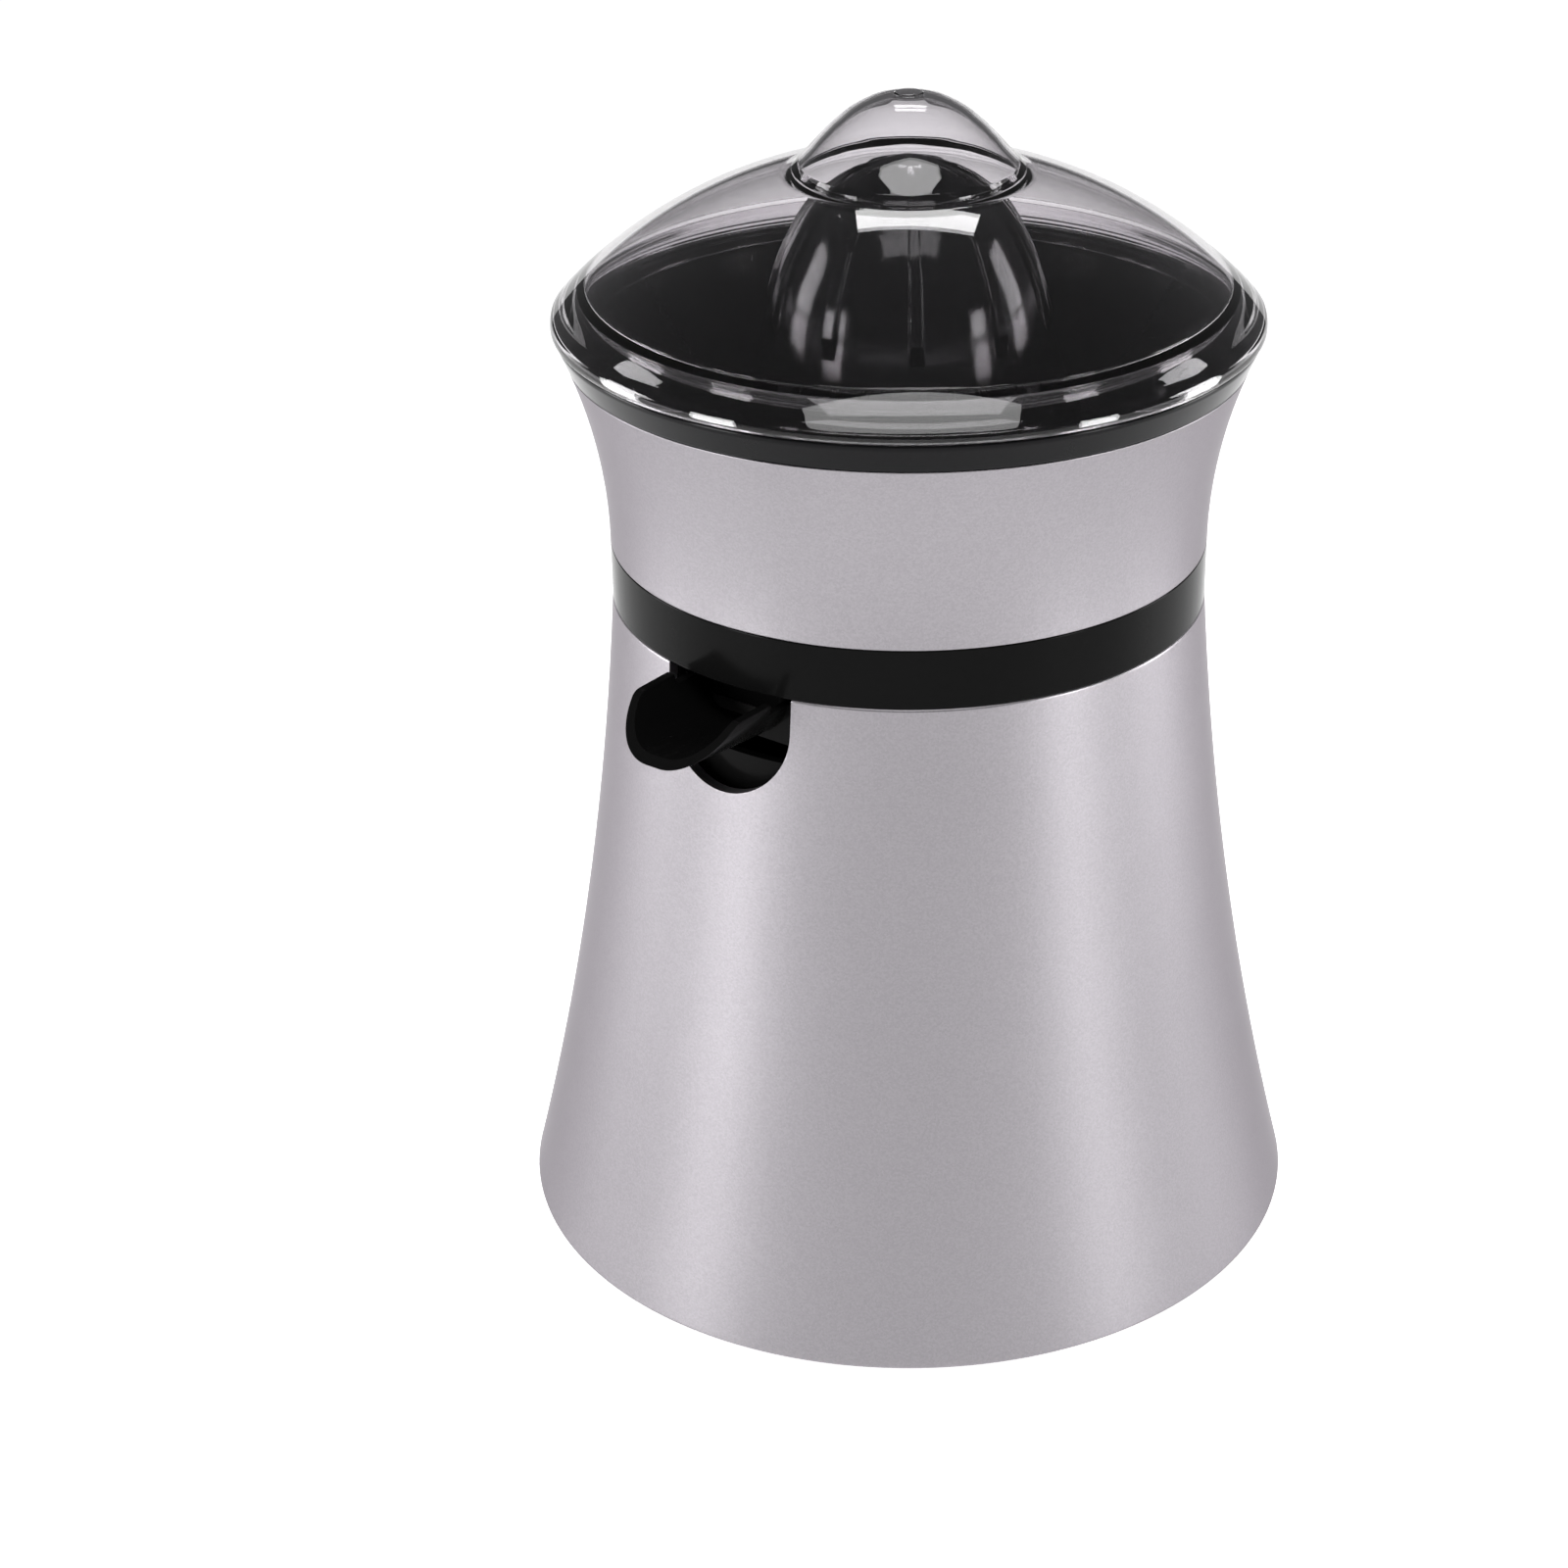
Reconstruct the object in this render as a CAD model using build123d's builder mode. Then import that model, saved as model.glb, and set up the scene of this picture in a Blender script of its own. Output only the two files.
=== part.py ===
from build123d import *
from math import acos, cos, degrees, pi, radians, sin, sqrt, tan
import os

# Citrus press juicer. Millimetres, +Z up, origin on the floor below the spindle's axis.
# The spout points along -Y and the cord inlet is at the back, on +Y.

os.makedirs("parts", exist_ok=True)

# Overall sizes
base_radius = 89.5  # widest radius, at the foot of the housing
neck_radius = 65.5  # radius of the black band at the waist
foot_height = 1.2  # how far the rubber feet hold the housing off the floor
housing_height = 148.6  # silver housing, from its foot to the neck
housing_bow = 3.43  # how far the housing's side bows inwards
band_height = 13.2
collar_height = 41.7
collar_radius = 73.2  # radius of the silver collar at its top
rim_height = 6.4  # black rim of the bowl above the collar
rim_flare = 2.5  # the bowl's rim beyond the collar's top
lid_overhang = 0.6  # the lid beyond the bowl's rim
lid_cap_radius = 104.8  # radius of the lid's large curved top
lid_dome_radius = 25.0  # radius of the small dome over the reamer
reamer_height = 60.0

# Walls and clearances
housing_wall = 2.6
collar_wall = 2.2
cup_wall = 2.0
lid_wall = 1.8
loose_gap = 0.3  # between pieces on different bodies that pass each other
running_gap = 0.05  # radial, between a shaft and its hole
press_travel = 2.5  # how far the spindle goes down when fruit is pressed on it

# Lower housing
notch_half_width = 16.2
notch_depth = 24.2
ledge_thickness = 3.0
ledge_inner_radius = 56.5
deck_drop = 31.8  # from the neck down to the underside of the deck
base_post_count = 4
base_post_radius = 4.5
base_post_height = 34.0
base_post_inset = 14.5  # from the widest radius to the posts' centres
inlet_height = 17.0
inlet_flange_radius = 7.5
inlet_body_radius = 5.5
inlet_bore_radius = 3.6

# Base plate, feet and screws
base_plate_thickness = 2.6
foot_radius = 8.5
foot_recess = 1.0
foot_stem_radius = 2.5
foot_inset = 24.0
vent_count = 28
vent_width = 3.0
vent_length = 16.0
vent_inner_radius = 30.0
screw_shank_radius = 1.5
screw_head_radius = 3.0
screw_head_height = 1.8

# Deck
deck_thickness = 3.0
deck_upstand = 2.0
deck_boss_wall = 3.5
deck_boss_height = 20.0
deck_screw_count = 4
deck_screw_inset = 3.4

# Drive
shaft_radius = 3.5
shaft_flat = 0.8  # depth of the flat on the shaft's two ends
motor_shaft_radius = 2.5
first_module = 0.8
first_pinion_teeth = 10
first_gear_teeth = 50
second_module = 1.0
second_pinion_teeth = 10
output_gear_teeth = 52
pressure_angle = radians(20)
tooth_shift = 0.4  # profile shift: long teeth on the pinions, short on the gears
backlash = 0.1
motor_side = radians(210)  # direction from the intermediate axle to the motor
first_face = 6.0
second_face = 8.0
axle_radius = 2.0

# Gearbox
cover_drop = 8.0  # from the deck's underside to the cover
cover_thickness = 3.0
case_height = 28.0
case_floor = 3.0
case_wall = 2.2
gear_room = 4.0
ear_radius = 6.0
ear_reach = 7.2  # from the gearbox's wall out to the screws in its ears
ear_drop = 10.0
boss_wall = 2.5
journal_wall = 2.5  # of the output gear's hub, round the shaft
bush_wall = 2.5
bush_height = 6.0

# Plunger, spring and switch
plunger_head_height = 3.5
plunger_stem_radius = 2.0
spring_wire_radius = 0.35
spring_radius = 4.2
spring_turns = 4
switch_width = 6.4
switch_length = 20.0
switch_height = 10.0
lever_arm = 20.0
button_arm = 8.0
lever_thickness = 0.6
lever_width = 4.2
lever_rise = 8.5  # degrees that the lever stands up at rest
button_radius = 1.2

# Motor
stack_height = 22.0
stack_drop = 21.0  # from the gearbox floor to the top of the stack
rotor_radius = 14.0
air_gap = 0.5
core_half_width = 21.0
core_back = 20.0
window_start = 18.0
window_width = 13.0
window_half_height = 14.5
limb_width = 13.0
coil_depth = 8.0
bobbin_wall = 1.0
bracket_width = 13.0
bracket_rise = 4.0
bracket_thickness = 3.0
motor_bolt_offset = 18.0
motor_bush_radius = 4.5
fan_radius = 24.0
fan_height = 9.0
fan_blades = 9
shaft_below_stack = 24.0

# Juice collector and spout
chimney_radius = 12.2
chimney_top_drop = 25.1  # from the rim down to the chimney's top
cup_drop = 4.7  # from the collar's top down to the cup's edge
gutter_rise = 5.5
skirt_depth = 8.8
skirt_wall = 2.0
outlet_half_width = 9.0
outlet_length = 9.6
outlet_wall = 1.6
spout_half_width = 13.8
spout_wall = 1.8
spout_depth = 9.5
spout_reach = 89.0
spout_mouth_top = 77.8  # from the axis to where the mouth starts to fall
spout_brow_round = 4.5
spout_floor_rise = 2.6  # how much higher the gutter's floor is at its tip
spout_edge_round = 9.0
spout_rim_drop = 2.8  # from the neck down to the spout's rear rim
spout_brow_drop = 0.5  # from the neck down to the rim outside the housing
spout_tilt = 8.0  # degrees that the spout tips down to pour
hinge_pin_radius = 2.0
hinge_radius = 38.0  # from the axis to the spout's pin
hinge_drop = 4.8
lug_width = 2.6

# Bowl, reamer and coupler
bowl_wall = 2.2
bowl_floor_drop = 31.1  # from the rim down to the strainer's top face
strainer_radius = 46.0
strainer_gap = 1.0
rim_width = 5.5
slot_count = 30
slot_width = 1.6
slot_length = 15.0
slot_start = 26.0
reamer_wall = 2.4
reamer_drop = 25.1  # from the rim down to the reamer's lower edge
rib_width = 3.2  # at the reamer's edge, narrowing towards its tip
rib_height = 1.3
rib_count = 10
rib_start = -87.0  # degrees round from +X to the first rib
hub_radius = 11.5
hub_depth = 54.0
coupler_radius = 7.5
coupler_height = 33.0
coupler_flange_gap = 1.2  # round the flange where the chimney lifts past it
coupler_flange = 2.0

# Radii that follow the sizes above
rim_radius = collar_radius + rim_flare
lid_radius = rim_radius + lid_overhang
bowl_mouth_radius = rim_radius - rim_width
journal_radius = shaft_radius + journal_wall
deck_boss_radius = shaft_radius + bush_wall + deck_boss_wall
chimney_outer = chimney_radius + cup_wall
strainer_hole_radius = chimney_outer + strainer_gap
coupler_flange_radius = chimney_radius - coupler_flange_gap

# Heights up the outside
housing_top = foot_height + housing_height
band_top = housing_top + band_height
collar_top = band_top + collar_height
rim_top = collar_top + rim_height


def bowed_radius(start_radius, end_radius, bottom, top, bow, height):
    """Radius at a height of a side that is a circular arc bowed inwards."""
    chord = sqrt((start_radius - end_radius) ** 2 + (top - bottom) ** 2)
    arc_radius = (chord**2 / 4 + bow**2) / (2 * bow)
    middle_radius = (start_radius + end_radius) / 2
    middle_height = (bottom + top) / 2
    reach = arc_radius - bow
    centre_radius = middle_radius + reach * (top - bottom) / chord
    centre_height = middle_height + reach * (start_radius - end_radius) / chord
    return centre_radius - sqrt(arc_radius**2 - (height - centre_height) ** 2)


def housing_radius(height, inset=0.0):
    return bowed_radius(
        base_radius - inset, neck_radius - inset, foot_height, housing_top, housing_bow, height
    )


def collar_radius_at(height, inset=0.0):
    """Radius of the flared collar, whose side starts upright at the band."""
    rise = collar_height
    spread = collar_radius - neck_radius
    arc_radius = (rise**2 + spread**2) / (2 * spread)
    return neck_radius - inset + arc_radius - sqrt(arc_radius**2 - (height - band_top) ** 2)


def tooth_outline(teeth, module, shift):
    """Sketch of one involute tooth on +X, down to the root circle."""
    pitch_radius = teeth * module / 2
    base = pitch_radius * cos(pressure_angle)
    root = pitch_radius - module * (1.25 - shift)
    tip = pitch_radius + module * (1 + shift)
    half_pitch = (pi / 2 + 2 * shift * tan(pressure_angle)) / teeth - backlash / (4 * pitch_radius)
    half_base = half_pitch + tan(pressure_angle) - pressure_angle

    def flank(radius, side):
        roll = acos(min(1.0, base / radius))
        turn = side * (half_base - (tan(roll) - roll))
        return (radius * cos(turn), radius * sin(turn))

    start = max(base, root)
    middle = (start + tip) / 2
    inside = root - module / 2
    with BuildSketch() as tooth:
        with BuildLine():
            foot = (inside * cos(half_base), inside * sin(half_base))
            Line(foot, flank(start, 1))
            ThreePointArc(flank(start, 1), flank(middle, 1), flank(tip, 1))
            ThreePointArc(flank(tip, 1), (tip, 0), flank(tip, -1))
            ThreePointArc(flank(tip, -1), flank(middle, -1), flank(start, -1))
            Line(flank(start, -1), (foot[0], -foot[1]))
            Line((foot[0], -foot[1]), foot)
        make_face()
    return tooth.sketch


def gear_outline(teeth, module, shift, phase):
    """Sketch of a whole gear, with the middle of a tooth at the phase angle, in degrees."""
    tooth = tooth_outline(teeth, module, shift)
    with BuildSketch() as outline:
        Circle(teeth * module / 2 - module * (1.25 - shift))
        with PolarLocations(0, teeth, start_angle=phase):
            add(tooth)
    return outline.sketch


def ring_points(radius, count, start=45.0):
    """Points evenly spaced on a circle, the first at the start angle in degrees."""
    angles = [radians(start + 360 / count * i) for i in range(count)]
    return [(radius * cos(a), radius * sin(a)) for a in angles]


def save(part, label):
    part.label = label
    export_step(part, f"parts/{label}.step")


# ---------------------------------------------------------------- heights inside the housing
deck_bottom = housing_top - deck_drop
deck_top = deck_bottom + deck_thickness
cover_top = deck_bottom - cover_drop
cover_bottom = cover_top - cover_thickness
case_bottom = cover_bottom - case_height
case_inside = case_bottom + case_floor
output_top = cover_bottom - 1.0
output_bottom = output_top - second_face
hub_bottom = output_bottom - 4.5
hub_top = cover_top + 3.0
shaft_bottom = hub_bottom - 0.5
plunger_bottom = case_bottom - 1.5
head_bottom = shaft_bottom - plunger_head_height
first_bottom = case_inside + 4.0
first_top = first_bottom + first_face
stack_top = case_bottom - stack_drop
stack_bottom = stack_top - stack_height
motor_shaft_bottom = stack_bottom - shaft_below_stack

# Centres of the gear train, seen from above
first_centres = first_module * (first_pinion_teeth + first_gear_teeth) / 2
second_centres = second_module * (second_pinion_teeth + output_gear_teeth) / 2
intermediate_at = (0.0, second_centres)
motor_x = first_centres * cos(motor_side)
motor_y = second_centres + first_centres * sin(motor_side)
motor_at = (motor_x, motor_y)
motor_bolts = [(motor_x, motor_y + motor_bolt_offset), (motor_x, motor_y - motor_bolt_offset)]
output_tip = output_gear_teeth * second_module / 2 + second_module * (1 - tooth_shift)
first_tip = first_gear_teeth * first_module / 2 + first_module * (1 - tooth_shift)
ear_x = output_tip + gear_room + case_wall + ear_reach
back_ear_x = first_tip + gear_room + case_wall + ear_reach - 0.9
back_ear_y = second_centres + ear_drop / 2
ear_points = [(ear_x, -ear_drop), (-ear_x, -ear_drop), (back_ear_x, back_ear_y), (-back_ear_x, back_ear_y)]

# Circles of holes and posts
base_posts = ring_points(base_radius - base_post_inset, base_post_count)
deck_inner_radius = neck_radius - housing_wall - loose_gap
deck_screws_at = ring_points(deck_inner_radius - deck_screw_inset, deck_screw_count, start=30.0)
feet_at = ring_points(base_radius - foot_inset, 4, start=0.0)
plate_top = foot_height + base_plate_thickness


# ---------------------------------------------------------------- lower housing
with BuildPart() as base_post_set:
    with BuildSketch(Plane.XY.offset(plate_top)):
        with Locations(*base_posts):
            Circle(base_post_radius)
        with PolarLocations(base_radius - base_post_inset / 2, base_post_count, start_angle=45):
            Rectangle(base_post_inset, 2.0)
    extrude(amount=base_post_height)
    with BuildSketch(Plane.XZ):
        with BuildLine():
            inset = housing_wall / 2
            middle = (foot_height + housing_top) / 2
            Line((0, foot_height), (base_radius - inset, foot_height))
            ThreePointArc(
                (base_radius - inset, foot_height),
                (housing_radius(middle, inset), middle),
                (neck_radius - inset, housing_top),
            )
            Line((neck_radius - inset, housing_top), (0, housing_top))
            Line((0, housing_top), (0, foot_height))
        make_face()
    revolve(axis=Axis.Z, mode=Mode.INTERSECT)

with BuildPart() as lower_housing:
    with BuildSketch(Plane.XZ):
        with BuildLine():
            middle = (foot_height + housing_top) / 2
            inner_base = base_radius - housing_wall
            inner_neck = neck_radius - housing_wall
            ThreePointArc(
                (base_radius, foot_height), (housing_radius(middle), middle), (neck_radius, housing_top)
            )
            Line((neck_radius, housing_top), (inner_neck, housing_top))
            ThreePointArc(
                (inner_neck, housing_top),
                (housing_radius(middle, housing_wall), middle),
                (inner_base, foot_height),
            )
            Line((inner_base, foot_height), (base_radius, foot_height))
        make_face()
    revolve(axis=Axis.Z)
    fillet(lower_housing.edges().group_by(Axis.Z)[0].sort_by(SortBy.RADIUS)[-1], housing_wall * 0.6)
    ledge_outer = housing_radius(deck_bottom, housing_wall / 2)
    with BuildSketch(Plane.XY.offset(deck_bottom - ledge_thickness)):
        Circle(ledge_outer)
        Circle(ledge_inner_radius, mode=Mode.SUBTRACT)
        with Locations(*ear_points):
            Circle(ear_radius, mode=Mode.SUBTRACT)
    extrude(amount=ledge_thickness)
    with BuildSketch(Plane.XY.offset(deck_bottom - ledge_thickness)):
        with Locations(*deck_screws_at):
            Circle(screw_shank_radius + loose_gap)
    extrude(amount=ledge_thickness, mode=Mode.SUBTRACT)
    add(base_post_set.part)
    with BuildSketch(Plane.XY.offset(plate_top)):
        with Locations(*base_posts):
            Circle(screw_shank_radius)
    extrude(amount=base_post_height - 8, mode=Mode.SUBTRACT)
    with BuildSketch(Plane.XZ.offset(neck_radius / 2)):
        with Locations((0, housing_top)):
            SlotCenterToCenter(2 * (notch_depth - notch_half_width), 2 * notch_half_width, rotation=90)
    extrude(amount=neck_radius, mode=Mode.SUBTRACT)
    with BuildSketch(Plane.XZ.offset(-base_radius / 2)):
        with Locations((0, inlet_height)):
            Circle(inlet_body_radius)
    extrude(amount=-base_radius, mode=Mode.SUBTRACT)
save(lower_housing.part, "lower_housing")


# ---------------------------------------------------------------- base plate, feet, screws, inlet
base_plate_radius = housing_radius(plate_top, housing_wall) - loose_gap
with BuildPart() as base_plate:
    with BuildSketch(Plane.XY.offset(foot_height)):
        Circle(base_plate_radius)
        with Locations(*base_posts):
            Circle(screw_shank_radius + loose_gap, mode=Mode.SUBTRACT)
        with Locations(*feet_at):
            Circle(foot_stem_radius, mode=Mode.SUBTRACT)
        with PolarLocations(vent_inner_radius + vent_length / 2, vent_count, start_angle=6.4):
            SlotOverall(vent_length, vent_width, mode=Mode.SUBTRACT)
    extrude(amount=base_plate_thickness)
    with BuildSketch(Plane.XY.offset(foot_height)):
        with Locations(*feet_at):
            Circle(foot_radius + loose_gap / 2)
        with Locations(*base_posts):
            Circle(screw_head_radius + loose_gap)
    extrude(amount=foot_recess, mode=Mode.SUBTRACT)
save(base_plate.part, "base_plate")

with BuildPart() as rubber_feet:
    with BuildSketch():
        with Locations(*feet_at):
            Circle(foot_radius)
    extrude(amount=foot_height + foot_recess, taper=3)
    with BuildSketch(Plane.XY.offset(foot_height)):
        with Locations(*feet_at):
            Circle(foot_stem_radius)
    extrude(amount=base_plate_thickness)
    with BuildSketch(Plane.XY.offset(plate_top)):
        with Locations(*feet_at):
            Circle(foot_stem_radius + 0.8)
    extrude(amount=2.2, taper=25)
save(rubber_feet.part, "rubber_feet")

with BuildPart() as base_screws:
    with BuildSketch(Plane.XY.offset(foot_height + foot_recess - screw_head_height / 2)):
        with Locations(*base_posts):
            Circle(screw_head_radius)
    extrude(amount=screw_head_height / 2)
    with BuildSketch(Plane.XY.offset(foot_height + foot_recess)):
        with Locations(*base_posts):
            Circle(screw_shank_radius)
    extrude(amount=14)
    with BuildSketch(Plane.XY.offset(foot_height + foot_recess - screw_head_height / 2)):
        with Locations(*base_posts):
            Rectangle(screw_head_radius, 0.6)
            Rectangle(0.6, screw_head_radius)
    extrude(amount=0.5, mode=Mode.SUBTRACT)
save(base_screws.part, "base_screws")

inlet_wall_outside = housing_radius(inlet_height - inlet_flange_radius)
inlet_wall_inside = housing_radius(inlet_height + inlet_flange_radius, housing_wall)
with BuildPart() as inlet_plug:
    with BuildSketch(Plane.XZ.offset(-(inlet_wall_outside - 0.6))):
        with Locations((0, inlet_height)):
            Circle(inlet_flange_radius)
    extrude(amount=inlet_wall_inside - inlet_wall_outside - 3.0)

with BuildPart() as cord_inlet:
    with BuildSketch(Plane.XZ.offset(-(inlet_wall_inside - 4.0))):
        with Locations((0, inlet_height)):
            Circle(inlet_body_radius)
    extrude(amount=-(inlet_wall_outside - inlet_wall_inside + 5.2))
    with BuildSketch(Plane.XZ.offset(-(inlet_wall_inside - 4.0))):
        with Locations((0, inlet_height)):
            Circle(inlet_flange_radius)
    extrude(amount=-3.4)
    with BuildSketch(Plane.XZ.offset(-(inlet_wall_inside - 4.0))):
        with Locations((0, inlet_height)):
            Circle(inlet_bore_radius)
    extrude(amount=-(inlet_wall_outside - inlet_wall_inside + 5.2), mode=Mode.SUBTRACT)
save(cord_inlet.part, "cord_inlet")


# ---------------------------------------------------------------- deck
skirt_outer = deck_inner_radius - deck_upstand - 2 * loose_gap
spout_rim = housing_top - spout_rim_drop
spout_floor = spout_rim - spout_depth
hinge_height = housing_top - hinge_drop
tilt_drop = (deck_inner_radius - hinge_radius) * sin(radians(spout_tilt)) + 0.9
deck_gap_floor = spout_floor - tilt_drop
with BuildPart() as top_deck:
    with BuildSketch(Plane.XY.offset(deck_bottom)):
        Circle(deck_inner_radius)
    extrude(amount=deck_thickness)
    with BuildSketch(Plane.XY.offset(deck_top)):
        Circle(deck_inner_radius)
        Circle(deck_inner_radius - deck_upstand, mode=Mode.SUBTRACT)
    extrude(amount=housing_top - 0.5 - deck_top)
    with BuildSketch(Plane.XY.offset(deck_bottom)):
        Circle(deck_boss_radius)
        with Locations(*deck_screws_at):
            Circle(screw_shank_radius + 2)
    extrude(amount=deck_boss_height)
    with BuildSketch(Plane.XY.offset(cover_top)):
        with Locations(*ear_points):
            Circle(ear_radius - 1)
    extrude(amount=cover_drop)
    with BuildSketch(Plane.XY.offset(cover_top)):
        with Locations(*ear_points):
            Circle(screw_shank_radius)
    extrude(amount=cover_drop, mode=Mode.SUBTRACT)
    with BuildSketch(Plane.XY.offset(deck_bottom)):
        with Locations(*deck_screws_at):
            Circle(screw_shank_radius)
    extrude(amount=9, mode=Mode.SUBTRACT)
    with BuildSketch(Plane.XY.offset(deck_bottom)):
        Circle(shaft_radius + 1)
    extrude(amount=deck_boss_height, mode=Mode.SUBTRACT)
    with BuildSketch(Plane.XY.offset(deck_bottom + deck_boss_height - 16)):
        Circle(shaft_radius + bush_wall)
    extrude(amount=16, mode=Mode.SUBTRACT)
    with BuildSketch(Plane.XY.offset(deck_gap_floor)):
        with Locations((0, -deck_inner_radius)):
            Rectangle(2 * notch_half_width - 0.8, 20)
    extrude(amount=housing_top - deck_gap_floor, mode=Mode.SUBTRACT)
save(top_deck.part, "top_deck")

with BuildPart() as deck_screws:
    with BuildSketch(Plane.XY.offset(deck_bottom - ledge_thickness - screw_head_height)):
        with Locations(*deck_screws_at):
            Circle(screw_head_radius)
    extrude(amount=screw_head_height)
    with BuildSketch(Plane.XY.offset(deck_bottom - ledge_thickness)):
        with Locations(*deck_screws_at):
            Circle(screw_shank_radius)
    extrude(amount=ledge_thickness + 8)
save(deck_screws.part, "deck_screws")

bush_bottom = deck_bottom + deck_boss_height - 16
with BuildPart() as shaft_bush:
    with BuildSketch(Plane.XY.offset(bush_bottom)):
        Circle(shaft_radius + bush_wall)
        Circle(shaft_radius + running_gap, mode=Mode.SUBTRACT)
    extrude(amount=11)
save(shaft_bush.part, "shaft_bush")

with BuildPart() as shaft_seal:
    with BuildSketch(Plane.XY.offset(bush_bottom + 11)):
        Circle(shaft_radius + bush_wall)
        Circle(shaft_radius + 2 * running_gap, mode=Mode.SUBTRACT)
    extrude(amount=5)
    with BuildSketch(Plane.XY.offset(bush_bottom + 14)):
        Circle(shaft_radius + 1.6)
        Circle(shaft_radius + 0.8, mode=Mode.SUBTRACT)
    extrude(amount=2, mode=Mode.SUBTRACT)
save(shaft_seal.part, "shaft_seal")


# ---------------------------------------------------------------- gearbox
def train_outline(output_room, first_room, ears=0.0):
    """Hull around the output gear and the first gear, and around the ears if they are asked for."""
    with BuildSketch() as outline:
        Circle(output_room)
        with Locations(intermediate_at):
            Circle(first_room)
        if ears:
            with Locations(*ear_points):
                Circle(ears)
        make_hull()
    return outline.sketch


case_outside = train_outline(output_tip + gear_room + case_wall, first_tip + gear_room + case_wall)
case_cavity = train_outline(output_tip + gear_room, first_tip + gear_room)
flange_outline = train_outline(
    output_tip + gear_room + case_wall, first_tip + gear_room + case_wall, ear_radius
)

with BuildPart() as gearbox_case:
    with BuildSketch(Plane.XY.offset(case_bottom)):
        add(case_outside)
    extrude(amount=case_height)
    with BuildSketch(Plane.XY.offset(cover_bottom - cover_thickness)):
        add(flange_outline)
    extrude(amount=cover_thickness)
    with BuildSketch(Plane.XY.offset(case_inside)):
        add(case_cavity)
    extrude(amount=case_height, mode=Mode.SUBTRACT)
    with BuildSketch(Plane.XY.offset(case_bottom)):
        Circle(journal_radius + running_gap + boss_wall)
        with Locations(intermediate_at):
            Circle(axle_radius + boss_wall)
    extrude(amount=first_bottom - case_bottom - 1.5)
    with BuildSketch(Plane.XY.offset(case_bottom)):
        Circle(journal_radius + running_gap + boss_wall)
    extrude(amount=output_bottom - 0.5 - case_bottom)
    with BuildSketch(Plane.XY.offset(case_inside)):
        Circle(journal_radius + running_gap)
    extrude(amount=case_height, mode=Mode.SUBTRACT)
    with BuildSketch(Plane.XY.offset(stack_top + bracket_rise + bracket_thickness)):
        with Locations(*motor_bolts):
            Circle(screw_shank_radius + 2.5)
    extrude(amount=case_bottom - stack_top - bracket_rise - bracket_thickness)
    with BuildSketch(Plane.XY.offset(stack_top + bracket_rise + bracket_thickness)):
        with Locations(*motor_bolts):
            Circle(screw_shank_radius)
    extrude(amount=14, mode=Mode.SUBTRACT)
    with BuildSketch(Plane.XY.offset(case_bottom)):
        with Locations(intermediate_at):
            Circle(axle_radius)
    extrude(amount=case_height, mode=Mode.SUBTRACT)
    with BuildSketch(Plane.XY.offset(case_bottom)):
        Circle(plunger_stem_radius + running_gap)
        with Locations(motor_at):
            Circle(motor_shaft_radius + 2)
        with Locations(*ear_points):
            Circle(screw_shank_radius + loose_gap)
    extrude(amount=case_height, mode=Mode.SUBTRACT)
    with BuildSketch(Plane.XY.offset(case_bottom - 19)):
        with Locations((switch_width / 2 + 1.5, -lever_arm / 2 - 2)):
            Rectangle(2.6, switch_length + 2)
    extrude(amount=19)
save(gearbox_case.part, "gearbox_case")

with BuildPart() as gearbox_cover:
    with BuildSketch(Plane.XY.offset(cover_bottom)):
        add(flange_outline)
        Circle(journal_radius + running_gap + bush_wall, mode=Mode.SUBTRACT)
        with Locations(*ear_points):
            Circle(screw_shank_radius + loose_gap, mode=Mode.SUBTRACT)
    extrude(amount=cover_thickness)
    with BuildSketch(Plane.XY.offset(cover_top)):
        Circle(journal_radius + bush_wall + 2)
        Circle(journal_radius + running_gap + bush_wall, mode=Mode.SUBTRACT)
    extrude(amount=3)
    with BuildSketch(Plane.XY.offset(cover_bottom)):
        with Locations(intermediate_at):
            Circle(axle_radius)
    extrude(amount=2, mode=Mode.SUBTRACT)
save(gearbox_cover.part, "gearbox_cover")

with BuildPart() as gearbox_screws:
    with BuildSketch(Plane.XY.offset(cover_bottom - cover_thickness - screw_head_height)):
        with Locations(*ear_points):
            Circle(screw_head_radius)
    extrude(amount=screw_head_height)
    with BuildSketch(Plane.XY.offset(cover_bottom - cover_thickness)):
        with Locations(*ear_points):
            Circle(screw_shank_radius)
    extrude(amount=2 * cover_thickness + 7)
save(gearbox_screws.part, "gearbox_screws")

with BuildPart() as output_bush:
    with BuildSketch(Plane.XY.offset(cover_bottom)):
        Circle(journal_radius + running_gap + bush_wall)
        Circle(journal_radius + running_gap, mode=Mode.SUBTRACT)
    extrude(amount=bush_height)
save(output_bush.part, "output_bush")

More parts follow.
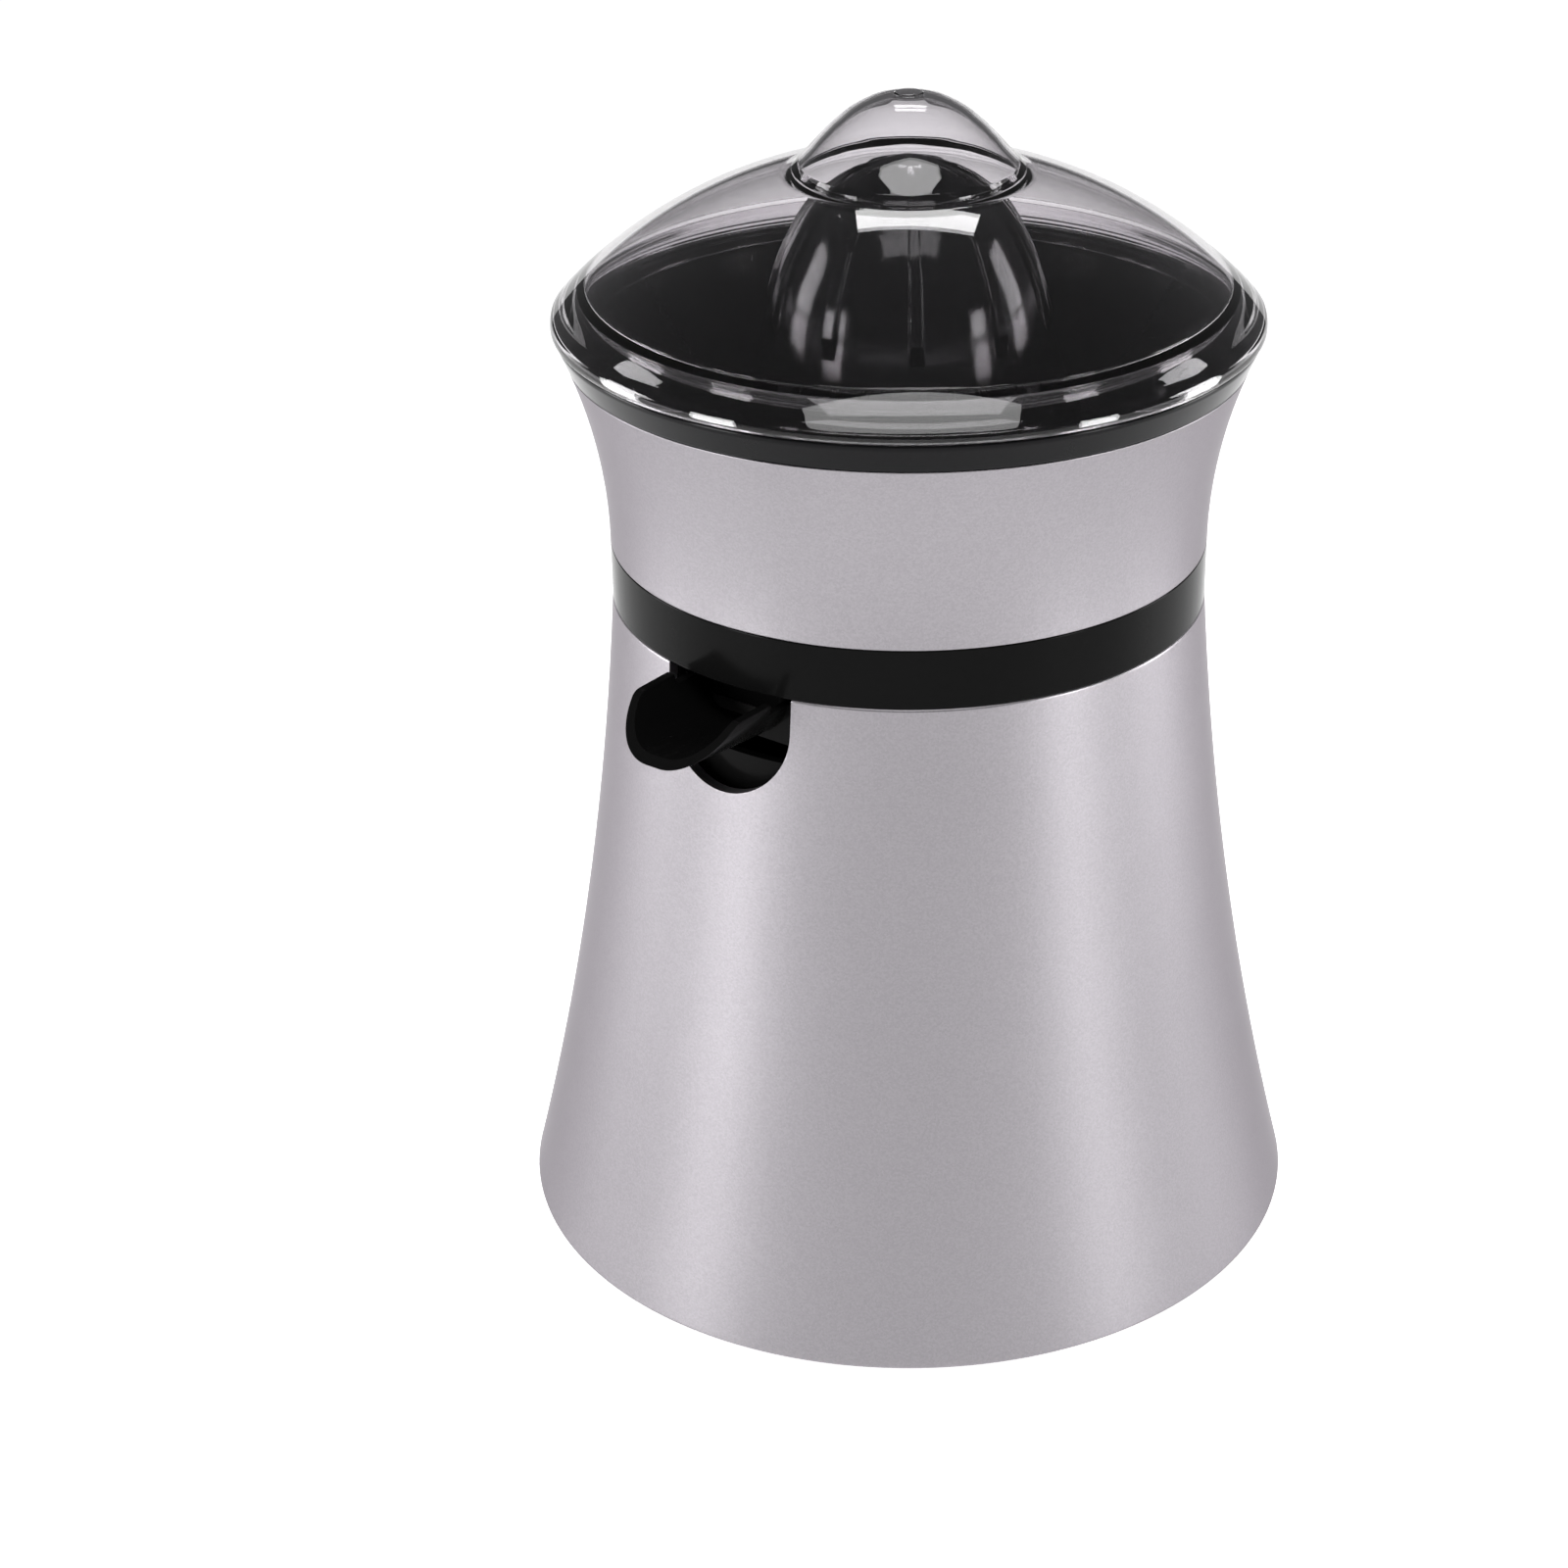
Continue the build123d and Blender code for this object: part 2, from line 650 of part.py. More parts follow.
# The intermediate axle stands due +Y of the spindle, so a tooth space of the output gear faces +Y.
output_outline = gear_outline(
    output_gear_teeth, second_module, -tooth_shift, 90 + 180 / output_gear_teeth
)
with BuildPart() as output_gear:
    with BuildSketch(Plane.XY.offset(output_bottom)):
        add(output_outline)
    extrude(amount=second_face)
    for web_side in (output_bottom, output_top - 2.5):
        with BuildSketch(Plane.XY.offset(web_side)):
            Circle(output_tip - 5)
            Circle(journal_radius + 3, mode=Mode.SUBTRACT)
        extrude(amount=2.5, mode=Mode.SUBTRACT)
    with BuildSketch(Plane.XY.offset(hub_bottom)):
        Circle(journal_radius)
    extrude(amount=hub_top - hub_bottom)
    with BuildSketch(Plane.XY.offset(hub_bottom)):
        Circle(shaft_radius + running_gap)
        with Locations((shaft_radius - shaft_flat + running_gap, 0)):
            Rectangle(2 * shaft_radius, 3 * shaft_radius, align=(Align.MIN, Align.CENTER), mode=Mode.SUBTRACT)
    extrude(amount=hub_top - hub_bottom, mode=Mode.SUBTRACT)
save(output_gear.part, "output_gear")

first_outline = gear_outline(
    first_gear_teeth, first_module, -tooth_shift, degrees(motor_side) + 180 / first_gear_teeth
)
second_pinion_outline = gear_outline(second_pinion_teeth, second_module, tooth_shift, -90)
with BuildPart() as intermediate_gear:
    with BuildSketch(Plane.XY.offset(first_bottom)):
        with Locations(intermediate_at):
            add(first_outline)
    extrude(amount=first_face)
    with BuildSketch(Plane.XY.offset(first_top)):
        with Locations(intermediate_at):
            add(second_pinion_outline)
    extrude(amount=cover_bottom - 0.5 - first_top)
    with BuildSketch(Plane.XY.offset(first_bottom - 1)):
        with Locations(intermediate_at):
            Circle(axle_radius + boss_wall)
    extrude(amount=1)
    with BuildSketch(Plane.XY.offset(first_bottom)):
        with Locations(intermediate_at):
            Circle(first_tip - 3.5)
            Circle(axle_radius + 6, mode=Mode.SUBTRACT)
    extrude(amount=2, mode=Mode.SUBTRACT)
    with BuildSketch(Plane.XY.offset(first_bottom - 1)):
        with Locations(intermediate_at):
            Circle(axle_radius + running_gap)
    extrude(amount=case_height, mode=Mode.SUBTRACT)
save(intermediate_gear.part, "intermediate_gear")

with BuildPart() as intermediate_axle:
    with BuildSketch(Plane.XY.offset(case_bottom)):
        with Locations(intermediate_at):
            Circle(axle_radius)
    extrude(amount=case_height + 2)
save(intermediate_axle.part, "intermediate_axle")


# ---------------------------------------------------------------- spindle, plunger, spring
chimney_top = rim_top - chimney_top_drop
coupler_bottom = chimney_top + press_travel + 1.0
shaft_top = coupler_bottom + 18
with BuildPart() as drive_shaft:
    with BuildSketch(Plane.XY.offset(shaft_bottom)):
        Circle(shaft_radius)
    extrude(amount=shaft_top - shaft_bottom)
    for flat_bottom, flat_top in ((shaft_bottom, hub_top + press_travel + 1), (coupler_bottom, shaft_top)):
        with BuildSketch(Plane.XY.offset(flat_bottom)):
            with Locations((shaft_radius - shaft_flat, 0)):
                Rectangle(shaft_radius, 3 * shaft_radius, align=(Align.MIN, Align.CENTER))
        extrude(amount=flat_top - flat_bottom, mode=Mode.SUBTRACT)
    chamfer(drive_shaft.faces().sort_by(Axis.Z)[-1].edges(), 0.5)
save(drive_shaft.part, "drive_shaft")

with BuildPart() as drive_coupler:
    with BuildSketch(Plane.XY.offset(coupler_bottom)):
        Circle(coupler_flange_radius)
    extrude(amount=coupler_flange)
    with BuildSketch(Plane.XY.offset(coupler_bottom)):
        RegularPolygon(coupler_radius, 6)
    extrude(amount=coupler_height)
    chamfer(drive_coupler.faces().sort_by(Axis.Z)[-1].edges(), 1.5)
    with BuildSketch(Plane.XY.offset(coupler_bottom)):
        Circle(shaft_radius)
        with Locations((shaft_radius - shaft_flat, 0)):
            Rectangle(shaft_radius, 3 * shaft_radius, align=(Align.MIN, Align.CENTER), mode=Mode.SUBTRACT)
    extrude(amount=shaft_top - coupler_bottom, mode=Mode.SUBTRACT)
save(drive_coupler.part, "drive_coupler")

with BuildPart() as thrust_plunger:
    with BuildSketch(Plane.XY.offset(plunger_bottom)):
        Circle(plunger_stem_radius)
    extrude(amount=shaft_bottom - plunger_bottom)
    with BuildSketch(Plane.XY.offset(head_bottom)):
        Circle(journal_radius - loose_gap)
    extrude(amount=plunger_head_height)
    fillet(thrust_plunger.faces().sort_by(Axis.Z)[0].edges(), 0.8)
save(thrust_plunger.part, "thrust_plunger")

spring_start = case_inside + spring_wire_radius
spring_height = head_bottom - spring_wire_radius - spring_start
with BuildPart() as return_spring:
    with BuildLine(Plane.XY.offset(spring_start)):
        coil = Helix(spring_height / spring_turns, spring_height, spring_radius)
    with BuildSketch(Plane(coil @ 0, z_dir=coil % 0)):
        Circle(spring_wire_radius)
    sweep(path=coil, is_frenet=True)
save(return_spring.part, "return_spring")


# ---------------------------------------------------------------- start switch
lever_pivot_y = -lever_arm
lever_slope = tan(radians(lever_rise))
lever_pivot_z = plunger_bottom - loose_gap - lever_thickness / 2 - lever_arm * lever_slope
switch_top = lever_pivot_z - 0.9
switch_middle_y = lever_pivot_y - 2 + switch_length / 2
button_top = lever_pivot_z + button_arm * lever_slope - lever_thickness / 2 - loose_gap
button_y = lever_pivot_y + button_arm
switch_holes = [(switch_middle_y - 4.75, switch_top - 7), (switch_middle_y + 4.75, switch_top - 7)]
with BuildPart() as switch_body:
    with BuildSketch(Plane.XY.offset(switch_top - switch_height)):
        with Locations((0, switch_middle_y)):
            Rectangle(switch_width, switch_length)
    extrude(amount=switch_height)
    fillet(switch_body.edges().filter_by(Axis.Z), 0.6)
    with BuildSketch(Plane.YZ.offset(-switch_width / 2)):
        with Locations((lever_pivot_y, switch_top)):
            Rectangle(2.6, 4)
    extrude(amount=0.8)
    with BuildSketch(Plane.YZ.offset(switch_width / 2 - 0.8)):
        with Locations((lever_pivot_y, switch_top)):
            Rectangle(2.6, 4)
    extrude(amount=0.8)
    with BuildSketch(Plane.YZ.offset(-switch_width / 2)):
        with Locations((lever_pivot_y, lever_pivot_z)):
            Circle(0.5 + running_gap)
        with Locations(*switch_holes):
            Circle(1.2)
    extrude(amount=switch_width, mode=Mode.SUBTRACT)
    with BuildSketch(Plane.XY.offset(switch_top - 4)):
        with Locations((0, button_y)):
            Circle(button_radius + 2 * running_gap)
    extrude(amount=4, mode=Mode.SUBTRACT)
    with BuildSketch(Plane.XY.offset(switch_top - switch_height - 3.5)):
        with Locations(*[(0, switch_middle_y + step) for step in (-8, 0, 8)]):
            Rectangle(3.2, 0.6)
    extrude(amount=3.5)
save(switch_body.part, "switch_body")

lever_end = 2.0
with BuildPart() as switch_lever:
    with BuildSketch(Plane.YZ.offset(-lever_width / 2)):
        with BuildLine():
            Polyline(
                (lever_pivot_y, lever_pivot_z - lever_thickness / 2),
                (lever_end, lever_pivot_z + (lever_arm + lever_end) * lever_slope - lever_thickness / 2),
                (lever_end, lever_pivot_z + (lever_arm + lever_end) * lever_slope + lever_thickness / 2),
                (lever_pivot_y, lever_pivot_z + lever_thickness / 2),
                close=True,
            )
        make_face()
    extrude(amount=lever_width)
    with BuildSketch(Plane.YZ.offset(-switch_width / 2)):
        with Locations((lever_pivot_y, lever_pivot_z)):
            Circle(0.5)
    extrude(amount=switch_width)
save(switch_lever.part, "switch_lever")

with BuildPart() as switch_button:
    with BuildSketch(Plane.XY.offset(switch_top - 2.2)):
        with Locations((0, button_y)):
            Circle(button_radius)
    extrude(amount=button_top - switch_top + 2.2)
    fillet(switch_button.faces().sort_by(Axis.Z)[-1].edges(), 0.4)
save(switch_button.part, "switch_button")

with BuildPart() as switch_screws:
    with BuildSketch(Plane.YZ.offset(-switch_width / 2 - 1.4)):
        with Locations(*switch_holes):
            Circle(2.1)
    extrude(amount=1.4)
    with BuildSketch(Plane.YZ.offset(-switch_width / 2)):
        with Locations(*switch_holes):
            Circle(1.1)
    extrude(amount=switch_width)
save(switch_screws.part, "switch_screws")


# ---------------------------------------------------------------- motor
window_left = motor_x + window_start
limb_left = window_left + window_width
core_right = limb_left + limb_width
core_left = motor_x - core_back
core_middle_x = (core_left + core_right) / 2
with BuildPart() as stator_core:
    with BuildSketch(Plane.XY.offset(stack_bottom)):
        with Locations((core_middle_x, motor_y)):
            RectangleRounded(core_right - core_left, 2 * core_half_width, 3)
        with Locations(motor_at):
            Circle(rotor_radius + air_gap, mode=Mode.SUBTRACT)
        with Locations((window_left + window_width / 2, motor_y)):
            Rectangle(window_width, 2 * window_half_height, mode=Mode.SUBTRACT)
        with Locations(*motor_bolts):
            Circle(screw_shank_radius + 0.1, mode=Mode.SUBTRACT)
    extrude(amount=stack_height)
save(stator_core.part, "stator_core")

coil_x = (limb_left + core_right) / 2
coil_z = (stack_top + stack_bottom) / 2
bobbin_length = 2 * window_half_height - 1.0
bobbin_width = limb_width + 2 * bobbin_wall
bobbin_tall = stack_height + 2 * bobbin_wall
coil_end = Plane.XZ.offset(-(motor_y - bobbin_length / 2))
with BuildPart() as coil_bobbin:
    with BuildSketch(coil_end):
        with Locations((coil_x, coil_z)):
            RectangleRounded(bobbin_width, bobbin_tall, 0.8)
            Rectangle(limb_width, stack_height, mode=Mode.SUBTRACT)
    extrude(amount=-bobbin_length)
    for flange_start in (0, bobbin_length - bobbin_wall):
        with BuildSketch(coil_end.offset(-flange_start)):
            with Locations((coil_x, coil_z)):
                RectangleRounded(bobbin_width + 2 * coil_depth, bobbin_tall + 2 * coil_depth, 3)
                Rectangle(limb_width, stack_height, mode=Mode.SUBTRACT)
        extrude(amount=-bobbin_wall)
save(coil_bobbin.part, "coil_bobbin")

with BuildPart() as coil_winding:
    with BuildSketch(coil_end.offset(-bobbin_wall)):
        with Locations((coil_x, coil_z)):
            RectangleRounded(bobbin_width + 2 * coil_depth - 1.6, bobbin_tall + 2 * coil_depth - 1.6, 6)
            RectangleRounded(bobbin_width, bobbin_tall, 0.8, mode=Mode.SUBTRACT)
    extrude(amount=-(bobbin_length - 2 * bobbin_wall))
save(coil_winding.part, "coil_winding")

bracket_length = 2 * motor_bolt_offset + 8
bush_sleeve = motor_bush_radius + 2


def motor_bracket(core_face, up):
    """A bearing bridge over the rotor: two feet on the core, a bar, and a sleeve for the bush."""
    foot_bottom = core_face if up > 0 else core_face - bracket_rise
    bar_bottom = core_face + bracket_rise if up > 0 else core_face - bracket_rise - bracket_thickness
    sleeve_bottom = bar_bottom if up > 0 else bar_bottom - (bush_height - bracket_thickness)
    with BuildPart() as bracket:
        with BuildSketch(Plane.XY.offset(foot_bottom)):
            with Locations(*motor_bolts):
                Rectangle(bracket_width, 7)
        extrude(amount=bracket_rise)
        with BuildSketch(Plane.XY.offset(bar_bottom)):
            with Locations(motor_at):
                SlotOverall(bracket_length, bracket_width, rotation=90)
        extrude(amount=bracket_thickness)
        with BuildSketch(Plane.XY.offset(sleeve_bottom)):
            with Locations(motor_at):
                Circle(bush_sleeve)
        extrude(amount=bush_height)
        with BuildSketch(Plane.XY.offset(sleeve_bottom)):
            with Locations(motor_at):
                Circle(motor_bush_radius)
        extrude(amount=bush_height, mode=Mode.SUBTRACT)
        with BuildSketch(Plane.XY.offset(sleeve_bottom - 20)):
            with Locations(*motor_bolts):
                Circle(screw_shank_radius + 0.1)
        extrude(amount=50, mode=Mode.SUBTRACT)
    return bracket.part, sleeve_bottom


upper_bracket, upper_bush_bottom = motor_bracket(stack_top, 1)
lower_bracket, lower_bush_bottom = motor_bracket(stack_bottom, -1)
save(upper_bracket, "upper_motor_bracket")
save(lower_bracket, "lower_motor_bracket")

with BuildPart() as motor_bushes:
    for sleeve_bottom in (upper_bush_bottom, lower_bush_bottom):
        with BuildSketch(Plane.XY.offset(sleeve_bottom)):
            with Locations(motor_at):
                Circle(motor_bush_radius)
                Circle(motor_shaft_radius + running_gap, mode=Mode.SUBTRACT)
        extrude(amount=bush_height)
save(motor_bushes.part, "motor_bushes")

motor_screw_head = stack_bottom - bracket_rise - bracket_thickness
with BuildPart() as motor_screws:
    with BuildSketch(Plane.XY.offset(motor_screw_head - screw_head_height)):
        with Locations(*motor_bolts):
            Circle(screw_head_radius)
    extrude(amount=screw_head_height)
    with BuildSketch(Plane.XY.offset(motor_screw_head)):
        with Locations(*motor_bolts):
            Circle(screw_shank_radius)
    extrude(amount=stack_top + bracket_rise + bracket_thickness + 12 - motor_screw_head)
save(motor_screws.part, "motor_screws")

with BuildPart() as rotor_core:
    with BuildSketch(Plane.XY.offset(stack_bottom)):
        with Locations(motor_at):
            Circle(rotor_radius)
    extrude(amount=stack_height)
    with BuildSketch(Plane.XY.offset(stack_bottom - 2)):
        with Locations(motor_at):
            Circle(rotor_radius - 1.5)
            Circle(rotor_radius - 6, mode=Mode.SUBTRACT)
    extrude(amount=stack_height + 4)
    with BuildSketch(Plane.XY.offset(stack_bottom - 2)):
        with Locations(motor_at):
            Circle(motor_shaft_radius)
    extrude(amount=stack_height + 4, mode=Mode.SUBTRACT)
save(rotor_core.part, "rotor_core")

pinion_top = first_top + 1.0
pinion_bottom = first_bottom - 1.0
with BuildPart() as motor_shaft:
    with BuildSketch(Plane.XY.offset(motor_shaft_bottom)):
        with Locations(motor_at):
            Circle(motor_shaft_radius)
    extrude(amount=pinion_top - motor_shaft_bottom)
save(motor_shaft.part, "motor_shaft")

motor_pinion_outline = gear_outline(
    first_pinion_teeth, first_module, tooth_shift, degrees(motor_side) + 180
)
with BuildPart() as motor_pinion:
    with BuildSketch(Plane.XY.offset(pinion_bottom)):
        with Locations(motor_at):
            add(motor_pinion_outline)
            Circle(motor_shaft_radius, mode=Mode.SUBTRACT)
    extrude(amount=pinion_top - pinion_bottom)
save(motor_pinion.part, "motor_pinion")

with BuildPart() as cooling_fan:
    with BuildSketch(Plane.XY.offset(motor_shaft_bottom)):
        with Locations(motor_at):
            Circle(motor_shaft_radius + 3.5)
    extrude(amount=fan_height)
    with BuildSketch(Plane.XY.offset(motor_shaft_bottom)):
        with Locations(motor_at):
            Circle(fan_radius)
    extrude(amount=1.4)
    with BuildSketch(Plane.XY.offset(motor_shaft_bottom + 1.4)):
        with Locations(motor_at):
            with PolarLocations(fan_radius / 2 + 4, fan_blades):
                Rectangle(fan_radius - 11, 1.2, rotation=22)
    extrude(amount=fan_height - 1.4)
    with BuildSketch(Plane.XY.offset(motor_shaft_bottom)):
        with Locations(motor_at):
            Circle(motor_shaft_radius)
    extrude(amount=fan_height, mode=Mode.SUBTRACT)
save(cooling_fan.part, "cooling_fan")


# ---------------------------------------------------------------- juice collector and collar
cup_top = collar_top - cup_drop
cup_inset = collar_wall + loose_gap
cup_inner_inset = cup_inset + cup_wall
cup_middle = (band_top + cup_top) / 2
cup_inner = neck_radius - cup_inner_inset
gutter_low = housing_top + 3.0
skirt_inner = skirt_outer - skirt_wall
with BuildPart() as juice_collector:
    with BuildSketch(Plane.XZ):
        with BuildLine():
            Line((neck_radius, housing_top), (neck_radius, band_top))
            Line((neck_radius, band_top), (neck_radius - cup_inset, band_top))
            ThreePointArc(
                (neck_radius - cup_inset, band_top),
                (collar_radius_at(cup_middle, cup_inset), cup_middle),
                (collar_radius_at(cup_top, cup_inset), cup_top),
            )
            Line(
                (collar_radius_at(cup_top, cup_inset), cup_top),
                (collar_radius_at(cup_top, cup_inner_inset), cup_top),
            )
            ThreePointArc(
                (collar_radius_at(cup_top, cup_inner_inset), cup_top),
                (collar_radius_at(cup_middle, cup_inner_inset), cup_middle),
                (cup_inner, band_top),
            )
            Polyline(
                (cup_inner, band_top),
                (cup_inner, gutter_low),
                (chimney_outer, gutter_low + gutter_rise),
                (chimney_outer, chimney_top),
                (chimney_radius, chimney_top),
                (chimney_radius, gutter_low + gutter_rise - cup_wall),
                (skirt_inner, gutter_low - cup_wall - 0.6),
                (skirt_inner, housing_top - skirt_depth),
                (skirt_outer, housing_top - skirt_depth),
                (skirt_outer, housing_top),
                (neck_radius, housing_top),
            )
        make_face()
    revolve(axis=Axis.Z)
    outlet_front = -(skirt_inner - outlet_wall)
    outlet_middle = outlet_front + outlet_length / 2
    outlet_bottom = spout_floor + spout_wall + 2.9
    with BuildSketch(Plane.XY.offset(housing_top - skirt_depth)):
        with Locations((0, -skirt_inner)):
            Rectangle(2 * (spout_half_width + 1.1), 8)
    extrude(amount=skirt_depth, mode=Mode.SUBTRACT)
    with BuildSketch(Plane.XY.offset(outlet_bottom)):
        with Locations((0, outlet_middle)):
            RectangleRounded(2 * (outlet_half_width + outlet_wall), outlet_length + 2 * outlet_wall, 2.5)
    extrude(amount=gutter_low - outlet_bottom)
    lug_bottom = hinge_height - 3.6
    for side in (-1, 1):
        with BuildSketch(Plane.XY.offset(lug_bottom)):
            with Locations((side * (spout_half_width - spout_wall - loose_gap - lug_width / 2), -hinge_radius)):
                Rectangle(lug_width, 6.2)
        extrude(amount=gutter_low + 1 - lug_bottom)
    with BuildSketch(Plane.YZ.offset(-spout_half_width)):
        with Locations((-hinge_radius, hinge_height)):
            Circle(hinge_pin_radius)
    extrude(amount=2 * spout_half_width, mode=Mode.SUBTRACT)
    with BuildSketch(Plane.XY.offset(outlet_bottom)):
        with Locations((0, outlet_middle)):
            RectangleRounded(2 * outlet_half_width, outlet_length, 1.5)
    extrude(amount=gutter_low + gutter_rise - outlet_bottom, mode=Mode.SUBTRACT)
save(juice_collector.part, "juice_collector")

with BuildPart() as upper_collar:
    collar_middle = (band_top + collar_top) / 2
    with BuildSketch(Plane.XZ):
        with BuildLine():
            ThreePointArc(
                (neck_radius, band_top),
                (collar_radius_at(collar_middle), collar_middle),
                (collar_radius, collar_top),
            )
            Line((collar_radius, collar_top), (collar_radius - collar_wall, collar_top))
            ThreePointArc(
                (collar_radius - collar_wall, collar_top),
                (collar_radius_at(collar_middle, collar_wall), collar_middle),
                (neck_radius - collar_wall, band_top),
            )
            Line((neck_radius - collar_wall, band_top), (neck_radius, band_top))
        make_face()
    revolve(axis=Axis.Z)
save(upper_collar.part, "upper_collar")


# ---------------------------------------------------------------- spout
spout_back = -outlet_middle - outlet_length / 2 - outlet_wall - 1.2 - spout_wall
spout_root = -outlet_middle + outlet_length / 2 + outlet_wall + 1.2
spout_brow = housing_top - spout_brow_drop


def tray(inset, top):
    """The flat-floored back of the spout, under the outlet."""
    length = spout_root + spout_wall - spout_back - 2 * inset
    with BuildPart() as body:
        with BuildSketch(Plane.XY.offset(spout_floor + inset)):
            with Locations((0, -(spout_back + inset) - length / 2)):
                Rectangle(2 * (spout_half_width - inset), length)
        extrude(amount=top - spout_floor - inset)
        fillet(body.edges().filter_by(Axis.Y).group_by(Axis.Z)[0], 2.2 - inset / 2)
    return body.part


def gutter(inset, overrun):
    """The round-bottomed front of the spout, its floor rising to a mouth cut on the slant."""
    run = spout_reach - spout_root
    way = Vector(0, -run, spout_floor_rise)
    start = Vector(0, -spout_root + inset / 2, spout_floor + inset)
    with BuildPart() as body:
        with BuildSketch(Plane(origin=start, x_dir=(1, 0, 0), z_dir=way)):
            with Locations((0, 15)):
                RectangleRounded(2 * (spout_half_width - inset), 30, spout_edge_round - inset)
        extrude(amount=run + 8)
        with BuildSketch(Plane.YZ.offset(-spout_half_width)):
            with BuildLine():
                if overrun:
                    Polyline(
                        (-spout_root + inset, spout_floor - 5),
                        (-spout_root + inset, spout_brow + overrun),
                        (-spout_reach - overrun, spout_brow + overrun),
                        (-spout_reach - overrun, spout_floor - 5),
                        close=True,
                    )
                else:
                    FilletPolyline(
                        (-spout_root, spout_floor - 5),
                        (-spout_root, spout_rim),
                        (-(neck_radius + 1.5), spout_rim),
                        (-(neck_radius + 1.5), spout_brow),
                        (-spout_mouth_top, spout_brow),
                        (-spout_reach, spout_floor + spout_floor_rise),
                        (-spout_reach, spout_floor - 5),
                        radius=[0.01, 0.01, 0.01, 0.01, spout_brow_round, 0.01, 0.01],
                        close=True,
                    )
            make_face()
        extrude(amount=2 * spout_half_width, mode=Mode.INTERSECT)
    return body.part


spout_outside = [tray(0, spout_rim), gutter(0, 0)]
spout_inside = [tray(spout_wall, spout_rim + 1), gutter(spout_wall, 5)]
with BuildPart() as spout:
    for piece in spout_outside:
        add(piece)
    for side in (-1, 1):
        with BuildSketch(Plane.YZ.offset(side * (spout_half_width - spout_wall / 2) - spout_wall / 2)):
            with Locations((-(hinge_radius + spout_back) / 2 - 1.5, hinge_height)):
                SlotOverall(spout_back - hinge_radius + 10, 7.2)
        extrude(amount=spout_wall)
    for piece in spout_inside:
        add(piece, mode=Mode.SUBTRACT)
    with BuildSketch(Plane.YZ.offset(-spout_half_width)):
        with Locations((-hinge_radius, hinge_height)):
            Circle(hinge_pin_radius + running_gap)
    extrude(amount=2 * spout_half_width, mode=Mode.SUBTRACT)
save(spout.part, "spout")

with BuildPart() as spout_seal:
    with BuildSketch(Plane.XY.offset(spout_floor + spout_wall)):
        with Locations((0, outlet_middle)):
            RectangleRounded(2 * outlet_half_width + 2.8, outlet_length + 2.8, 2)
    extrude(amount=2.6)
save(spout_seal.part, "spout_seal")

with BuildPart() as spout_pin:
    with BuildSketch(Plane.YZ.offset(-spout_half_width)):
        with Locations((-hinge_radius, hinge_height)):
            Circle(hinge_pin_radius)
    extrude(amount=2 * spout_half_width)
save(spout_pin.part, "spout_pin")


# ---------------------------------------------------------------- bowl
strainer_top = rim_top - bowl_floor_drop
bowl_side_slope = (rim_top - 2 - strainer_top) / (bowl_mouth_radius - strainer_radius)
side_step = bowl_wall * sqrt(1 + 1 / bowl_side_slope**2)
with BuildPart() as bowl:
    with BuildSketch(Plane.XZ):
        with BuildLine():
            outer_top = rim_top - rim_height
            Polyline(
                (rim_radius, rim_top),
                (bowl_mouth_radius + 1.2, rim_top),
                (bowl_mouth_radius, rim_top - 2),
                (strainer_radius, strainer_top),
                (strainer_hole_radius + 1.8, strainer_top),
                (strainer_hole_radius + 1.8, strainer_top + 4),
                (strainer_hole_radius, strainer_top + 4),
                (strainer_hole_radius, strainer_top - 2),
                (strainer_radius + side_step - 2 / bowl_side_slope, strainer_top - 2),
                (bowl_mouth_radius + side_step - (rim_height - 2) / bowl_side_slope, outer_top),
                (collar_radius, outer_top),
            )
            Line((collar_radius, outer_top), (rim_radius, rim_top))
        make_face()
    revolve(axis=Axis.Z)
    with BuildSketch(Plane.XY.offset(strainer_top - 2)):
        with PolarLocations(slot_start + slot_length / 2, slot_count):
            SlotOverall(slot_length, slot_width)
    extrude(amount=2, mode=Mode.SUBTRACT)
save(bowl.part, "bowl")


# ---------------------------------------------------------------- reamer
reamer_bottom = rim_top - reamer_drop
reamer_tip = reamer_bottom + reamer_height
reamer_curve = [(6.5, 1.2), (17.0, 7.4), (24.0, 16.4), (27.6, 24.0), (30.4, 34.4), (35.0, 50.0)]
skirt_radius = 38.5


def reamer_points(grow):
    """Points down the reamer's side: distance out from the axis and height, grown outwards."""
    side = [(radius + grow * 0.8, reamer_tip - drop + grow * 0.6) for radius, drop in reamer_curve]
    return side + [(skirt_radius + grow, reamer_bottom)]


with BuildPart() as reamer_ribs:
    with BuildSketch(Plane.XZ):
        with BuildLine():
            Spline((0, reamer_tip + rib_height * 0.6), *reamer_points(rib_height)[:5])
            Polyline(
                reamer_points(rib_height)[4],
                (skirt_radius - reamer_wall * 3.6, reamer_bottom + 24),
                (0, reamer_bottom + 24),
                (0, reamer_tip + rib_height * 0.6),
            )
        make_face()
    revolve(axis=Axis.Z)
    with BuildSketch(Plane.XY.offset(reamer_bottom)):
        with PolarLocations(0, rib_count, start_angle=rib_start):
            with Locations((skirt_radius / 2, 0)):
                Trapezoid(rib_width, skirt_radius, 88, rotation=90)
    extrude(amount=reamer_height + 5, mode=Mode.INTERSECT)

